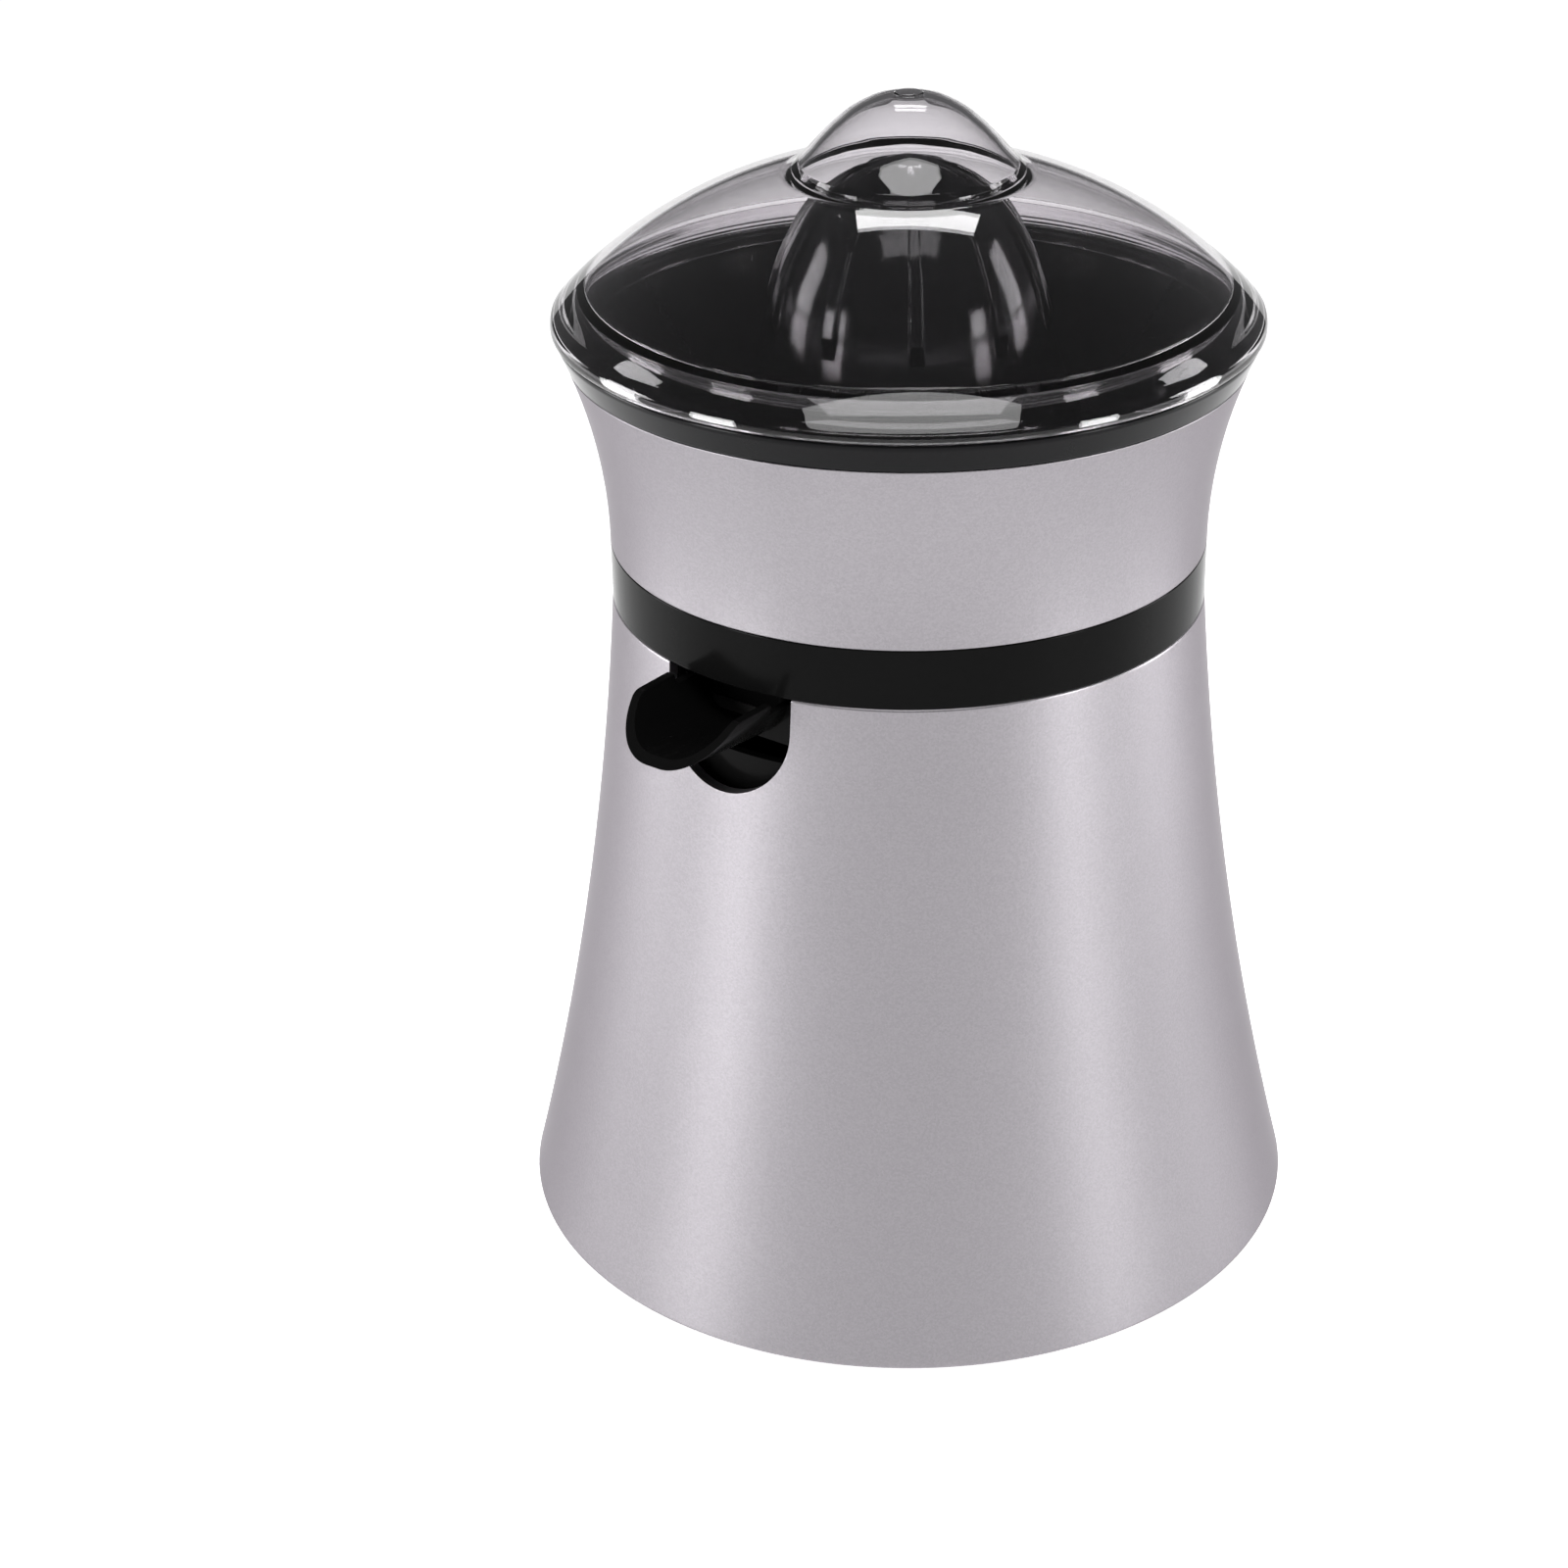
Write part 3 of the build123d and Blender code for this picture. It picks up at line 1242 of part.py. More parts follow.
with BuildPart() as reamer:
    with BuildSketch(Plane.XZ):
        with BuildLine():
            Spline((0, reamer_tip), *reamer_points(0))
            Polyline((skirt_radius, reamer_bottom), (0, reamer_bottom), (0, reamer_tip))
        make_face()
    revolve(axis=Axis.Z)
    with BuildSketch(Plane.XZ):
        with BuildLine():
            Spline((0, reamer_tip - reamer_wall), *reamer_points(-reamer_wall))
            Polyline(
                (skirt_radius - reamer_wall, reamer_bottom),
                (0, reamer_bottom),
                (0, reamer_tip - reamer_wall),
            )
        make_face()
    revolve(axis=Axis.Z, mode=Mode.SUBTRACT)
    with BuildSketch(Plane.XY.offset(coupler_bottom + coupler_flange + loose_gap)):
        Circle(hub_radius)
    extrude(amount=reamer_tip - 5 - coupler_bottom - coupler_flange)
    add(reamer_ribs.part)
    with BuildSketch(Plane.XY.offset(coupler_bottom)):
        RegularPolygon(coupler_radius + loose_gap * 1.2, 6)
    extrude(amount=coupler_height + 2, mode=Mode.SUBTRACT)
save(reamer.part, "reamer")


# ---------------------------------------------------------------- lid
lid_bottom = rim_top + loose_gap
lid_shoulder_radius = lid_radius - 1.4
lid_shoulder = lid_bottom + 3.6
cap_centre = lid_shoulder - sqrt(lid_cap_radius**2 - lid_shoulder_radius**2)
dome_edge_radius = 24.0
dome_edge = cap_centre + sqrt(lid_cap_radius**2 - dome_edge_radius**2)
dome_centre = dome_edge - sqrt(lid_dome_radius**2 - dome_edge_radius**2)
cap_middle_radius = (lid_shoulder_radius + dome_edge_radius) / 2


def on_cap(radius, inset=0.0):
    return cap_centre + sqrt((lid_cap_radius - inset) ** 2 - radius**2)


inner_edge = dome_edge_radius - lid_wall
dome_mid = lid_dome_radius * sin(radians(40))
dome_mid_up = lid_dome_radius * cos(radians(40))
inner_dome = lid_dome_radius - lid_wall
with BuildPart() as lid:
    with BuildSketch(Plane.XZ):
        with BuildLine():
            Polyline(
                (lid_radius - lid_wall - 2.4, lid_bottom),
                (lid_radius, lid_bottom),
                (lid_radius, lid_shoulder - 1.0),
                (lid_shoulder_radius, lid_shoulder),
            )
            ThreePointArc(
                (lid_shoulder_radius, lid_shoulder),
                (cap_middle_radius, on_cap(cap_middle_radius)),
                (dome_edge_radius, dome_edge),
            )
            ThreePointArc(
                (dome_edge_radius, dome_edge),
                (dome_mid, dome_centre + dome_mid_up),
                (0, dome_centre + lid_dome_radius),
            )
            Line((0, dome_centre + lid_dome_radius), (0, dome_centre + inner_dome))
            inner_dome_edge = (inner_edge, on_cap(inner_edge, lid_wall))
            ThreePointArc(
                (0, dome_centre + inner_dome),
                (inner_dome * sin(radians(40)), dome_centre + inner_dome * cos(radians(40))),
                inner_dome_edge,
            )
            inner_rim = lid_radius - lid_wall - 2.4
            ThreePointArc(
                inner_dome_edge,
                (cap_middle_radius, on_cap(cap_middle_radius, lid_wall)),
                (inner_rim, on_cap(inner_rim, lid_wall)),
            )
            Line((inner_rim, on_cap(inner_rim, lid_wall)), (inner_rim, lid_bottom))
        make_face()
    revolve(axis=Axis.Z)
    locator_outer = bowl_mouth_radius - 1.0
    with BuildSketch(Plane.XZ):
        with Locations((locator_outer, lid_bottom - 2.6)):
            Rectangle(
                lid_wall * 0.8,
                on_cap(locator_outer, lid_wall / 2) - lid_bottom + 2.6,
                align=(Align.MAX, Align.MIN),
            )
    revolve(axis=Axis.Z)
    with BuildSketch(Plane.XY.offset(dome_centre + lid_dome_radius - 0.8)):
        Circle(3.0)
    extrude(amount=1.1)
save(lid.part, "lid")

print("height", dome_centre + lid_dome_radius, "deck gap floor", deck_gap_floor)
print("motor at", motor_at, "case bottom", case_bottom, "stack", stack_bottom, stack_top)
print("lever pivot", lever_pivot_y, lever_pivot_z, "hinge", hinge_height, "outlet", outlet_middle)
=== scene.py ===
from math import asin, atan2, cos, exp, pi, radians, sin, sqrt

import bmesh
import bpy
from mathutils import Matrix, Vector


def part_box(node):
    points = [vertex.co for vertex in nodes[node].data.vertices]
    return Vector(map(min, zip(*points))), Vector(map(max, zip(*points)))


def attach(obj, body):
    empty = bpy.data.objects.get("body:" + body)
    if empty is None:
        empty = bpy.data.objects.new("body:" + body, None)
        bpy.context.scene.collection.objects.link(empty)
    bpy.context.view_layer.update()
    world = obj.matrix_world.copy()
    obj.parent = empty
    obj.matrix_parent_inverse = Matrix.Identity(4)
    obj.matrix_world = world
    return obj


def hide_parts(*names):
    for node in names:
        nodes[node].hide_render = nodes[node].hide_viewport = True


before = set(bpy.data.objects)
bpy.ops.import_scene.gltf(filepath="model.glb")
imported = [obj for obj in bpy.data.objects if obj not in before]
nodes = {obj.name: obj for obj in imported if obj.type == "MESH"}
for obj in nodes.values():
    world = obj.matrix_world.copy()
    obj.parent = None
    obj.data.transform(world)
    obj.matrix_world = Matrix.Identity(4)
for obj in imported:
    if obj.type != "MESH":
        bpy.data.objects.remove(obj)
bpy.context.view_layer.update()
view = bpy.context.scene
view.view_settings.view_transform = "Standard"
print("frame loaded:", len(nodes), "nodes")

# camera and lights, lengths in metres and bearings in degrees

camera = {
    "place": (0.387, -0.533, 0.439),
    "turn": 36.0,
    "tilt": 27.3,
    "lens": 74.2,  # millimetres, as is the sensor
    "sensor": 36,
    "shift": -0.079,
    "nearest": 0.01,
    "farthest": 60,
}

eye = bpy.data.objects.new("camera", bpy.data.cameras.new("camera"))
eye.location = camera["place"]
eye.rotation_euler = (radians(90 - camera["tilt"]), 0, radians(camera["turn"]))
eye.data.lens = camera["lens"]
eye.data.sensor_width = camera["sensor"]
eye.data.shift_x = camera["shift"]
eye.data.clip_start = camera["nearest"]
eye.data.clip_end = camera["farthest"]
view.collection.objects.link(eye)
view.camera = eye

# bearing is measured from the camera's side of the object, positive to its right; power is in watts
studio = {
    "leftStrip": {"bearing": -97, "reach": 0.8, "height": 0.26, "size": (0.24, 0.6), "power": 4.0},
    "rightStrip": {"bearing": 99, "reach": 0.8, "height": 0.26, "size": (0.24, 0.6), "power": 4.0},
    "leftPanel": {"bearing": -60, "reach": 1.0, "height": 0.16, "size": (0.26, 0.5), "power": 5.5},
    "rightPanel": {"bearing": 58, "reach": 1.0, "height": 0.16, "size": (0.22, 0.5), "power": 4.2},
    "frontTop": {"bearing": 2, "reach": 0.5, "height": 1.05, "size": (0.85, 0.46), "power": 5.4},
    "backLight": {"bearing": 178, "reach": 0.62, "height": 1.0, "size": (0.32, 0.14), "power": 1.0},
}
aim = Vector((0, 0, 0.14))


def softBox(name, look):
    lamp = bpy.data.lights.new(name, "AREA")
    lamp.shape = "RECTANGLE"
    lamp.size, lamp.size_y = look["size"]
    lamp.energy = look["power"]
    box = bpy.data.objects.new(name, lamp)
    heading = radians(camera["turn"] + look["bearing"])
    box.location = (look["reach"] * sin(heading), -look["reach"] * cos(heading), look["height"])
    box.rotation_euler = (aim - box.location).to_track_quat("-Z", "Y").to_euler()
    view.collection.objects.link(box)


for name, look in studio.items():
    softBox(name, look)

room = {"colour": (0.95, 0.95, 0.97), "strength": 0.12}
world = bpy.data.worlds.new("room")
view.world = world
world.use_nodes = True
world.node_tree.nodes["Background"].inputs["Color"].default_value = (*room["colour"], 1)
world.node_tree.nodes["Background"].inputs["Strength"].default_value = room["strength"]


# a socket that writes sums as expressions, and the maker of one material's nodes

class Wire:
    def __init__(self, graph, socket):
        self.graph = graph
        self.socket = socket

    def sum(self, operation, first, second):
        return self.graph.add("ShaderNodeMath", {"operation": operation}, {0: first, 1: second})[0]

    def __add__(self, other):
        return self.sum("ADD", self, other)

    def __radd__(self, other):
        return self.sum("ADD", other, self)

    def __sub__(self, other):
        return self.sum("SUBTRACT", self, other)

    def __rsub__(self, other):
        return self.sum("SUBTRACT", other, self)

    def __mul__(self, other):
        return self.sum("MULTIPLY", self, other)

    def __rmul__(self, other):
        return self.sum("MULTIPLY", other, self)

    def __truediv__(self, other):
        return self.sum("DIVIDE", self, other)


class Finish:
    def __init__(self, name):
        self.material = bpy.data.materials.new(name)
        self.material.use_nodes = True
        self.tree = self.material.node_tree
        self.tree.nodes.clear()

    def add(self, kind, settings, sockets):
        node = self.tree.nodes.new(kind)
        for key, value in settings.items():
            if key == "stops":
                ramp = node.color_ramp
                ramp.elements[0].position, ramp.elements[0].color = value[0]
                ramp.elements[1].position, ramp.elements[1].color = value[-1]
                for place, colour in value[1:-1]:
                    ramp.elements.new(place).color = colour
            else:
                setattr(node, key, value)
        for key, value in sockets.items():
            if isinstance(value, Wire):
                self.tree.links.new(value.socket, node.inputs[key])
            else:
                node.inputs[key].default_value = value
        return [Wire(self, output) for output in node.outputs]

    def place(self):
        return self.add("ShaderNodeTexCoord", {}, {})[3]

    def noise(self, where, scale, detail=2.0, rough=0.5):
        sockets = {"Vector": where, "Scale": scale, "Detail": detail, "Roughness": rough}
        return self.add("ShaderNodeTexNoise", {}, sockets)[0]

    def stretch(self, where, scale):
        return self.add("ShaderNodeMapping", {}, {"Vector": where, "Scale": scale})[0]

    def between(self, factor, low, high):
        return self.add("ShaderNodeMapRange", {}, {"Value": factor, "To Min": low, "To Max": high})[0]

    def blend(self, factor, first, second):
        return self.add(
            "ShaderNodeMix", {"data_type": "RGBA"}, {0: factor, 6: (*first, 1), 7: (*second, 1)}
        )[2]

    def bump(self, height, strength, depth):
        sockets = {"Strength": strength, "Distance": depth, "Height": height}
        return self.add("ShaderNodeBump", {}, sockets)[0]

    def surface(self, sockets):
        shader = self.add("ShaderNodeBsdfPrincipled", {}, sockets)[0]
        self.add("ShaderNodeOutputMaterial", {}, {"Surface": shader})
        return self.material


silver = {
    "dark": (0.235, 0.223, 0.238),
    "light": (0.315, 0.3, 0.318),
    # painted shade: this dark specular tint dims the silver's grazing reflections, so its edges show darker
    "paintedEdgeShade": (0.5, 0.48, 0.5, 1),
    "metallic": 0.9,
    "roughness": (0.3, 0.38),
    "flakes": 2600,
    "grain": 1560,
    "clouds": 22,
    "bump": (0.12, 0.00006),
}


def silverPaint(look):
    paint = Finish("silverPaint")
    where = paint.place()
    flakes = paint.add(
        "ShaderNodeTexVoronoi", {"feature": "F1"}, {"Vector": where, "Scale": look["flakes"]}
    )
    speck = paint.add("ShaderNodeSeparateColor", {}, {"Color": flakes[1]})[0]
    cloud = paint.noise(where, look["clouds"], 3.0)
    grain = paint.noise(where, look["grain"], 1.0)
    shade = speck * 0.45 + grain * 0.25 + cloud * 0.3
    return paint.surface(
        {
            "Base Color": paint.blend(shade, look["dark"], look["light"]),
            "Metallic": look["metallic"],
            # the dark edge tint paints shade onto the silver's edges
            "Specular Tint": look["paintedEdgeShade"],
            "Roughness": paint.between(cloud * 0.6 + speck * 0.4, *look["roughness"]),
            "Normal": paint.bump(speck * 0.5 + grain * 0.5, *look["bump"]),
        }
    )


# colour and roughness run between two ends; grain and cloud are how many fit in a metre
mouldingGrain = 0.00005
mouldings = {
    "glossBlack": {"dark": (0.0045, 0.0045, 0.005), "light": (0.009, 0.009, 0.0095),
                   "roughness": (0.07, 0.16), "grain": 900, "cloud": 30, "bump": 0.05, "specular": 0.36},
    # painted shade: a darker copy of the gloss black, its reflection turned well down, for the bowl
    "shadedBowlBlack": {"dark": (0.0035, 0.0035, 0.004), "light": (0.007, 0.007, 0.0075), "roughness": (0.1, 0.2),
                  "grain": 900, "cloud": 30, "bump": 0.04, "specular": 0.09},
    # painted shade: a darker copy of the gloss black, its reflection turned right down, for the band, spout
    # and deck
    "shadedBandBlack": {"dark": (0.003, 0.003, 0.003), "light": (0.0055, 0.0055, 0.0055), "roughness": (0.12, 0.2),
                  "grain": 900, "cloud": 30, "bump": 0.05, "specular": 0.035},
    "matteBlack": {"dark": (0.012, 0.012, 0.013), "light": (0.024, 0.024, 0.025), "roughness": (0.45, 0.6),
                   "grain": 1900, "cloud": 40, "bump": 0.35, "specular": 0.4},
    "greyPlastic": {"dark": (0.19, 0.2, 0.21), "light": (0.26, 0.27, 0.28), "roughness": (0.4, 0.55),
                    "grain": 1500, "cloud": 35, "bump": 0.3, "specular": 0.45},
    "whiteNylon": {"dark": (0.62, 0.59, 0.5), "light": (0.78, 0.76, 0.69), "roughness": (0.32, 0.46),
                   "grain": 1200, "cloud": 50, "bump": 0.2, "specular": 0.5},
    "footRubber": {"dark": (0.018, 0.018, 0.018), "light": (0.04, 0.039, 0.038), "roughness": (0.7, 0.9),
                   "grain": 1300, "cloud": 60, "bump": 0.5, "specular": 0.3},
    "greySeal": {"dark": (0.11, 0.11, 0.115), "light": (0.17, 0.17, 0.175), "roughness": (0.5, 0.65),
                 "grain": 1000, "cloud": 60, "bump": 0.3, "specular": 0.4},
}


def moulded(name, look):
    plastic = Finish(name)
    where = plastic.place()
    grain = plastic.noise(where, look["grain"], 2.0)
    cloud = plastic.noise(where, look["cloud"], 4.0, 0.6)
    return plastic.surface(
        {
            "Base Color": plastic.blend(cloud * 0.6 + grain * 0.4, look["dark"], look["light"]),
            "Roughness": plastic.between(cloud * 0.7 + grain * 0.3, *look["roughness"]),
            "Specular IOR Level": look["specular"],
            "Normal": plastic.bump(grain, look["bump"], mouldingGrain),
        }
    )


# stretch is how closely the brushing or rolling marks stand along each axis
metalStain, metalGrain = 60, 0.00008
metals = {
    "brushedSteel": {"dark": (0.42, 0.43, 0.44), "light": (0.62, 0.63, 0.64), "roughness": (0.22, 0.4),
                     "stretch": (90, 90, 2600), "bump": 0.25},
    "castAluminium": {"dark": (0.5, 0.51, 0.52), "light": (0.68, 0.69, 0.7), "roughness": (0.4, 0.6),
                      "stretch": (800, 800, 800), "bump": 0.5},
    "coreSteel": {"dark": (0.12, 0.125, 0.13), "light": (0.34, 0.345, 0.35), "roughness": (0.35, 0.6),
                  "stretch": (30, 30, 2000), "bump": 0.7},
    "bearingBronze": {"dark": (0.34, 0.2, 0.08), "light": (0.56, 0.37, 0.17), "roughness": (0.35, 0.55),
                      "stretch": (1500, 1500, 1500), "bump": 0.4},
}


def metal(name, look):
    piece = Finish(name)
    where = piece.place()
    marks = piece.noise(piece.stretch(where, look["stretch"]), 1.0, 3.0)
    stain = piece.noise(where, metalStain, 3.0)
    return piece.surface(
        {
            "Base Color": piece.blend(marks * 0.65 + stain * 0.35, look["dark"], look["light"]),
            "Metallic": 1.0,
            "Roughness": piece.between(marks * 0.6 + stain * 0.4, *look["roughness"]),
            "Normal": piece.bump(marks, look["bump"], metalGrain),
        }
    )


winding = {
    "dark": (0.2, 0.06, 0.02),
    "light": (0.72, 0.29, 0.1),
    "wires": 360,
    "patches": 120,
    "roughness": (0.22, 0.4),
    "metallic": 0.75,
    "lacquer": 0.5,
    "bump": (0.8, 0.0003),
}


def enamelledWire(look):
    wire = Finish("enamelledWire")
    where = wire.place()
    turns = wire.add(
        "ShaderNodeTexWave",
        {"wave_type": "BANDS", "bands_direction": "Y", "wave_profile": "SIN"},
        {"Vector": where, "Scale": look["wires"], "Distortion": 0.6, "Detail": 1.0, "Detail Scale": 4.0},
    )[1]
    patch = wire.noise(where, look["patches"], 3.0)
    return wire.surface(
        {
            "Base Color": wire.blend(turns * 0.7 + patch * 0.3, look["dark"], look["light"]),
            "Metallic": look["metallic"],
            "Roughness": wire.between(patch, *look["roughness"]),
            "Normal": wire.bump(turns, *look["bump"]),
            "Coat Weight": look["lacquer"],
        }
    )


clear = {
    "tint": (0.87, 0.85, 0.872),
    "smudgeTint": 0.975,
    "haze": (0.0, 0.02),
    "ior": 1.49,
    "smudges": 55,
    "ripples": 90,
    "bump": (0.04, 0.00005),
}


def clearPlastic(look):
    pane = Finish("clearPlastic")
    where = pane.place()
    smudge = pane.noise(where, look["smudges"], 4.0, 0.65)
    ripple = pane.noise(where, look["ripples"], 1.0)
    smudged = [value * look["smudgeTint"] for value in look["tint"]]
    return pane.surface(
        {
            "Base Color": pane.blend(smudge, look["tint"], smudged),
            "Roughness": pane.between(smudge, *look["haze"]),
            "IOR": look["ior"],
            "Transmission Weight": 1.0,
            "Normal": pane.bump(ripple, *look["bump"]),
        }
    )


paleFloor = {
    "dark": (0.86, 0.86, 0.865),
    "light": (0.9, 0.9, 0.9),
    "roughness": (0.5, 0.62),
    "clouds": 2.5,
    "specular": 0.2,
    "glow": 0.84,
    "reach": 14.0,
    "drop": 0.0002,
}


def floorPaint(look):
    paint = Finish("floorPaint")
    where = paint.place()
    cloud = paint.noise(where, look["clouds"], 3.0)
    return paint.surface(
        {
            "Base Color": paint.blend(cloud, look["dark"], look["light"]),
            "Roughness": paint.between(cloud, *look["roughness"]),
            "Specular IOR Level": look["specular"],
            "Emission Color": (1, 1, 1, 1),
            "Emission Strength": look["glow"],
        }
    )


finishes = {"silver": silverPaint(silver), "clear": clearPlastic(clear), "wire": enamelledWire(winding)}
for name, look in mouldings.items():
    finishes[name] = moulded(name, look)
for name, look in metals.items():
    finishes[name] = metal(name, look)
print("finishes made:", len(finishes))

# mesh helpers, all sizes in millimetres


def makePiece(name, points, faces, finish):
    shape = bpy.data.meshes.new(name)
    shape.from_pydata([(x / 1000, y / 1000, z / 1000) for x, y, z in points], [], faces)
    build = bmesh.new()
    build.from_mesh(shape)
    bmesh.ops.recalc_face_normals(build, faces=build.faces)
    build.to_mesh(shape)
    build.free()
    piece = bpy.data.objects.new(name, shape)
    view.collection.objects.link(piece)
    shape.materials.append(finish)
    for face in shape.polygons:
        face.use_smooth = True
    return piece


def settle(piece):
    # writes the modifiers into the mesh
    bpy.context.view_layer.update()
    shape = bpy.data.meshes.new_from_object(piece.evaluated_get(bpy.context.evaluated_depsgraph_get()))
    piece.modifiers.clear()
    piece.data = shape
    return piece


def smoothed(piece, bevel=0.0, angle=35, steps=2):
    if bevel:
        edge = piece.modifiers.new("edge", "BEVEL")
        edge.width = bevel / 1000
        edge.segments = steps
        edge.limit_method = "ANGLE"
        edge.angle_limit = radians(angle)
    even = piece.modifiers.new("even", "WEIGHTED_NORMAL")
    even.weight = 60
    even.keep_sharp = True
    return settle(piece)


def cutWith(piece, cutter):
    cut = piece.modifiers.new("cut", "BOOLEAN")
    cut.operation = "DIFFERENCE"
    cut.solver = "EXACT"
    cut.object = cutter
    settle(piece)
    bpy.data.objects.remove(cutter)
    return piece


def eased(outline, radius, steps=4, least=18):
    # rounds the corners of a closed outline of (radius, height) points that turn by least degrees or more
    result = []
    count = len(outline)
    for i, here in enumerate(outline):
        before, after = Vector(outline[i - 1]), Vector(outline[(i + 1) % count])
        corner = Vector(here)
        inward, onward = corner - before, after - corner
        turn = inward.angle(onward, 0.0) if inward.length and onward.length else 0.0
        if turn < radians(least) or here[0] < 1e-6:
            result.append(here)
            continue
        room = min(radius, inward.length * 0.45, onward.length * 0.45)
        start = corner - inward.normalized() * room
        end = corner + onward.normalized() * room
        for step in range(steps + 1):
            t = step / steps
            spot = start * (1 - t) ** 2 + corner * (2 * t * (1 - t)) + end * t**2
            result.append((spot.x, spot.y))
    return result


def lathe(name, outline, finish, steps=240):
    # turns a closed outline of (radius, height) points about the vertical axis
    points, rings, faces = [], [], []
    for radius, height in outline:
        if radius < 1e-6:
            rings.append([len(points)] * steps)
            points.append((0, 0, height))
        else:
            rings.append(list(range(len(points), len(points) + steps)))
            for k in range(steps):
                turn = 2 * pi * k / steps
                points.append((radius * cos(turn), radius * sin(turn), height))
    for i, ring in enumerate(rings):
        onward = rings[(i + 1) % len(rings)]
        for k in range(steps):
            corners = [ring[k], ring[(k + 1) % steps], onward[(k + 1) % steps], onward[k]]
            face = list(dict.fromkeys(corners))
            if len(face) > 2:
                faces.append(face)
    return makePiece(name, points, faces, finish)


def slab(name, outline, low, high, finish, way="z"):
    # a flat outline given a thickness along z, x or y
    count = len(outline)
    place = {
        "z": lambda u, v, w: (u, v, w),
        "x": lambda u, v, w: (w, u, v),
        "y": lambda u, v, w: (u, w, v),
    }[way]
    points = [place(u, v, low) for u, v in outline] + [place(u, v, high) for u, v in outline]
    faces = [list(range(count)), list(range(2 * count - 1, count - 1, -1))]
    for i in range(count):
        j = (i + 1) % count
        faces.append([i, j, j + count, i + count])
    return makePiece(name, points, faces, finish)


def joined(name, pieces):
    build = bmesh.new()
    finish = pieces[0].data.materials[0]
    for piece in pieces:
        build.from_mesh(piece.data)
    shape = bpy.data.meshes.new(name)
    build.to_mesh(shape)
    build.free()
    for piece in pieces:
        bpy.data.objects.remove(piece)
    whole = bpy.data.objects.new(name, shape)
    shape.materials.append(finish)
    for face in shape.polygons:
        face.use_smooth = True
    view.collection.objects.link(whole)
    return whole


def arcPoints(centre, radius, start, end, count):
    spread = [start + (end - start) * i / (count - 1) for i in range(count)]
    return [(centre[0] + radius * cos(a), centre[1] + radius * sin(a)) for a in spread]


def circle(radius, count, centre=(0, 0)):
    return arcPoints(centre, radius, 0, 2 * pi * (count - 1) / count, count)


def bowedSide(lowRadius, highRadius, low, high, bow, count=60):
    # a circular arc bowed towards the axis, from its low end to its high end
    foot, top = Vector((lowRadius, low)), Vector((highRadius, high))
    chord = top - foot
    along = chord.normalized()
    inward = Vector((-along.y, along.x))
    if inward.x > 0:
        inward = -inward
    turn = (chord.length**2 / 4 + bow**2) / (2 * bow)
    half = asin(chord.length / 2 / turn)
    side = []
    for i in range(count):
        swing = half * (2 * i / (count - 1) - 1)
        spot = (foot + top) / 2 + along * turn * sin(swing)
        spot += inward * (turn * cos(swing) - (turn - bow))
        side.append((spot.x, spot.y))
    return side


def flaredSide(lowRadius, highRadius, low, high, inset, count=40):
    # an arc that starts upright at its low end and flares outwards
    rise, spread = high - low, highRadius - lowRadius
    turn = (rise**2 + spread**2) / (2 * spread)
    heights = [low + rise * i / (count - 1) for i in range(count)]
    return [(lowRadius - inset + turn - sqrt(turn**2 - (z - low) ** 2), z) for z in heights]


def wear(piece, body, slot, *replaced):
    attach(piece, body)
    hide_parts(*replaced)
    return piece


def top(node):
    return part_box(node)[1].z * 1000


def bottom(node):
    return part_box(node)[0].z * 1000


# silver housing with its notch

housing = {
    "footRadius": 89.5,
    "neckRadius": 65.5,
    "bow": 3.43,
    "wall": 2.6,
    "footEase": 1.6,
    "edge": 0.35,
    "notchHalfWidth": 16.2,
    "notchDepth": 24.2,
    "inletRadius": 5.5,
    "inletHeight": 17.0,
    "notchFrom": 30,
    "inletFrom": 50,
    "past": 5,
    "steps": 288,
}


def makeHousing(look):
    low, high = bottom("lower_housing"), top("lower_housing")
    outside = bowedSide(look["footRadius"], look["neckRadius"], low, high, look["bow"], 110)
    inside = bowedSide(
        look["footRadius"] - look["wall"], look["neckRadius"] - look["wall"], low, high, look["bow"], 60
    )
    outline = eased(outside + inside[::-1], look["footEase"], 6, 40)
    shell = lathe("housingShell", outline, finishes["silver"], look["steps"])
    # a round-bottomed notch in front, then the cord's hole behind
    half, past = look["notchHalfWidth"], look["past"]
    centre, beyond = high - look["notchDepth"] + half, look["footRadius"] + past
    shape = [(-half, high + past)] + arcPoints((0, centre), half, pi, 2 * pi, 49) + [(half, high + past)]
    cutWith(shell, slab("notch", shape, -beyond, -look["notchFrom"], finishes["silver"], "y"))
    hole = circle(look["inletRadius"], 48, (0, look["inletHeight"]))
    cutWith(shell, slab("inlet", hole, look["inletFrom"], beyond, finishes["silver"], "y"))
    smoothed(shell, look["edge"], 40, 3)
    return wear(shell, "base", "silver", "lower_housing")


makeHousing(housing)
print("housing made")

# black juice collector: the band, its cup, gutter, chimney, skirt, outlet and the spout's lugs

collector = {
    "flare": 73.2,
    "wall": 2.0,
    "cupInset": 2.5,
    "chimney": 12.2,
    "gutterRise": 5.5,
    "gutterFloor": 3.0,
    "floorWall": 2.6,
    "skirt": (58.0, 60.0),
    "skirtDepth": 8.8,
    "skirtGap": {"half": 14.9, "front": -64, "back": -54, "depth": 12},
    "outlet": {"half": 9.0, "length": 9.6, "wall": 1.6, "middle": -51.6, "low": 142.2, "corner": 1.5,
               "outerCorner": 2.5, "below": 5, "above": 8},
    "lugs": {"inner": 9.1, "outer": 11.7, "middle": -38.0, "half": 3.1, "low": 141.4, "nose": 3,
             "overlap": 0.8, "edge": 0.3},
    "edge": 0.4,
}


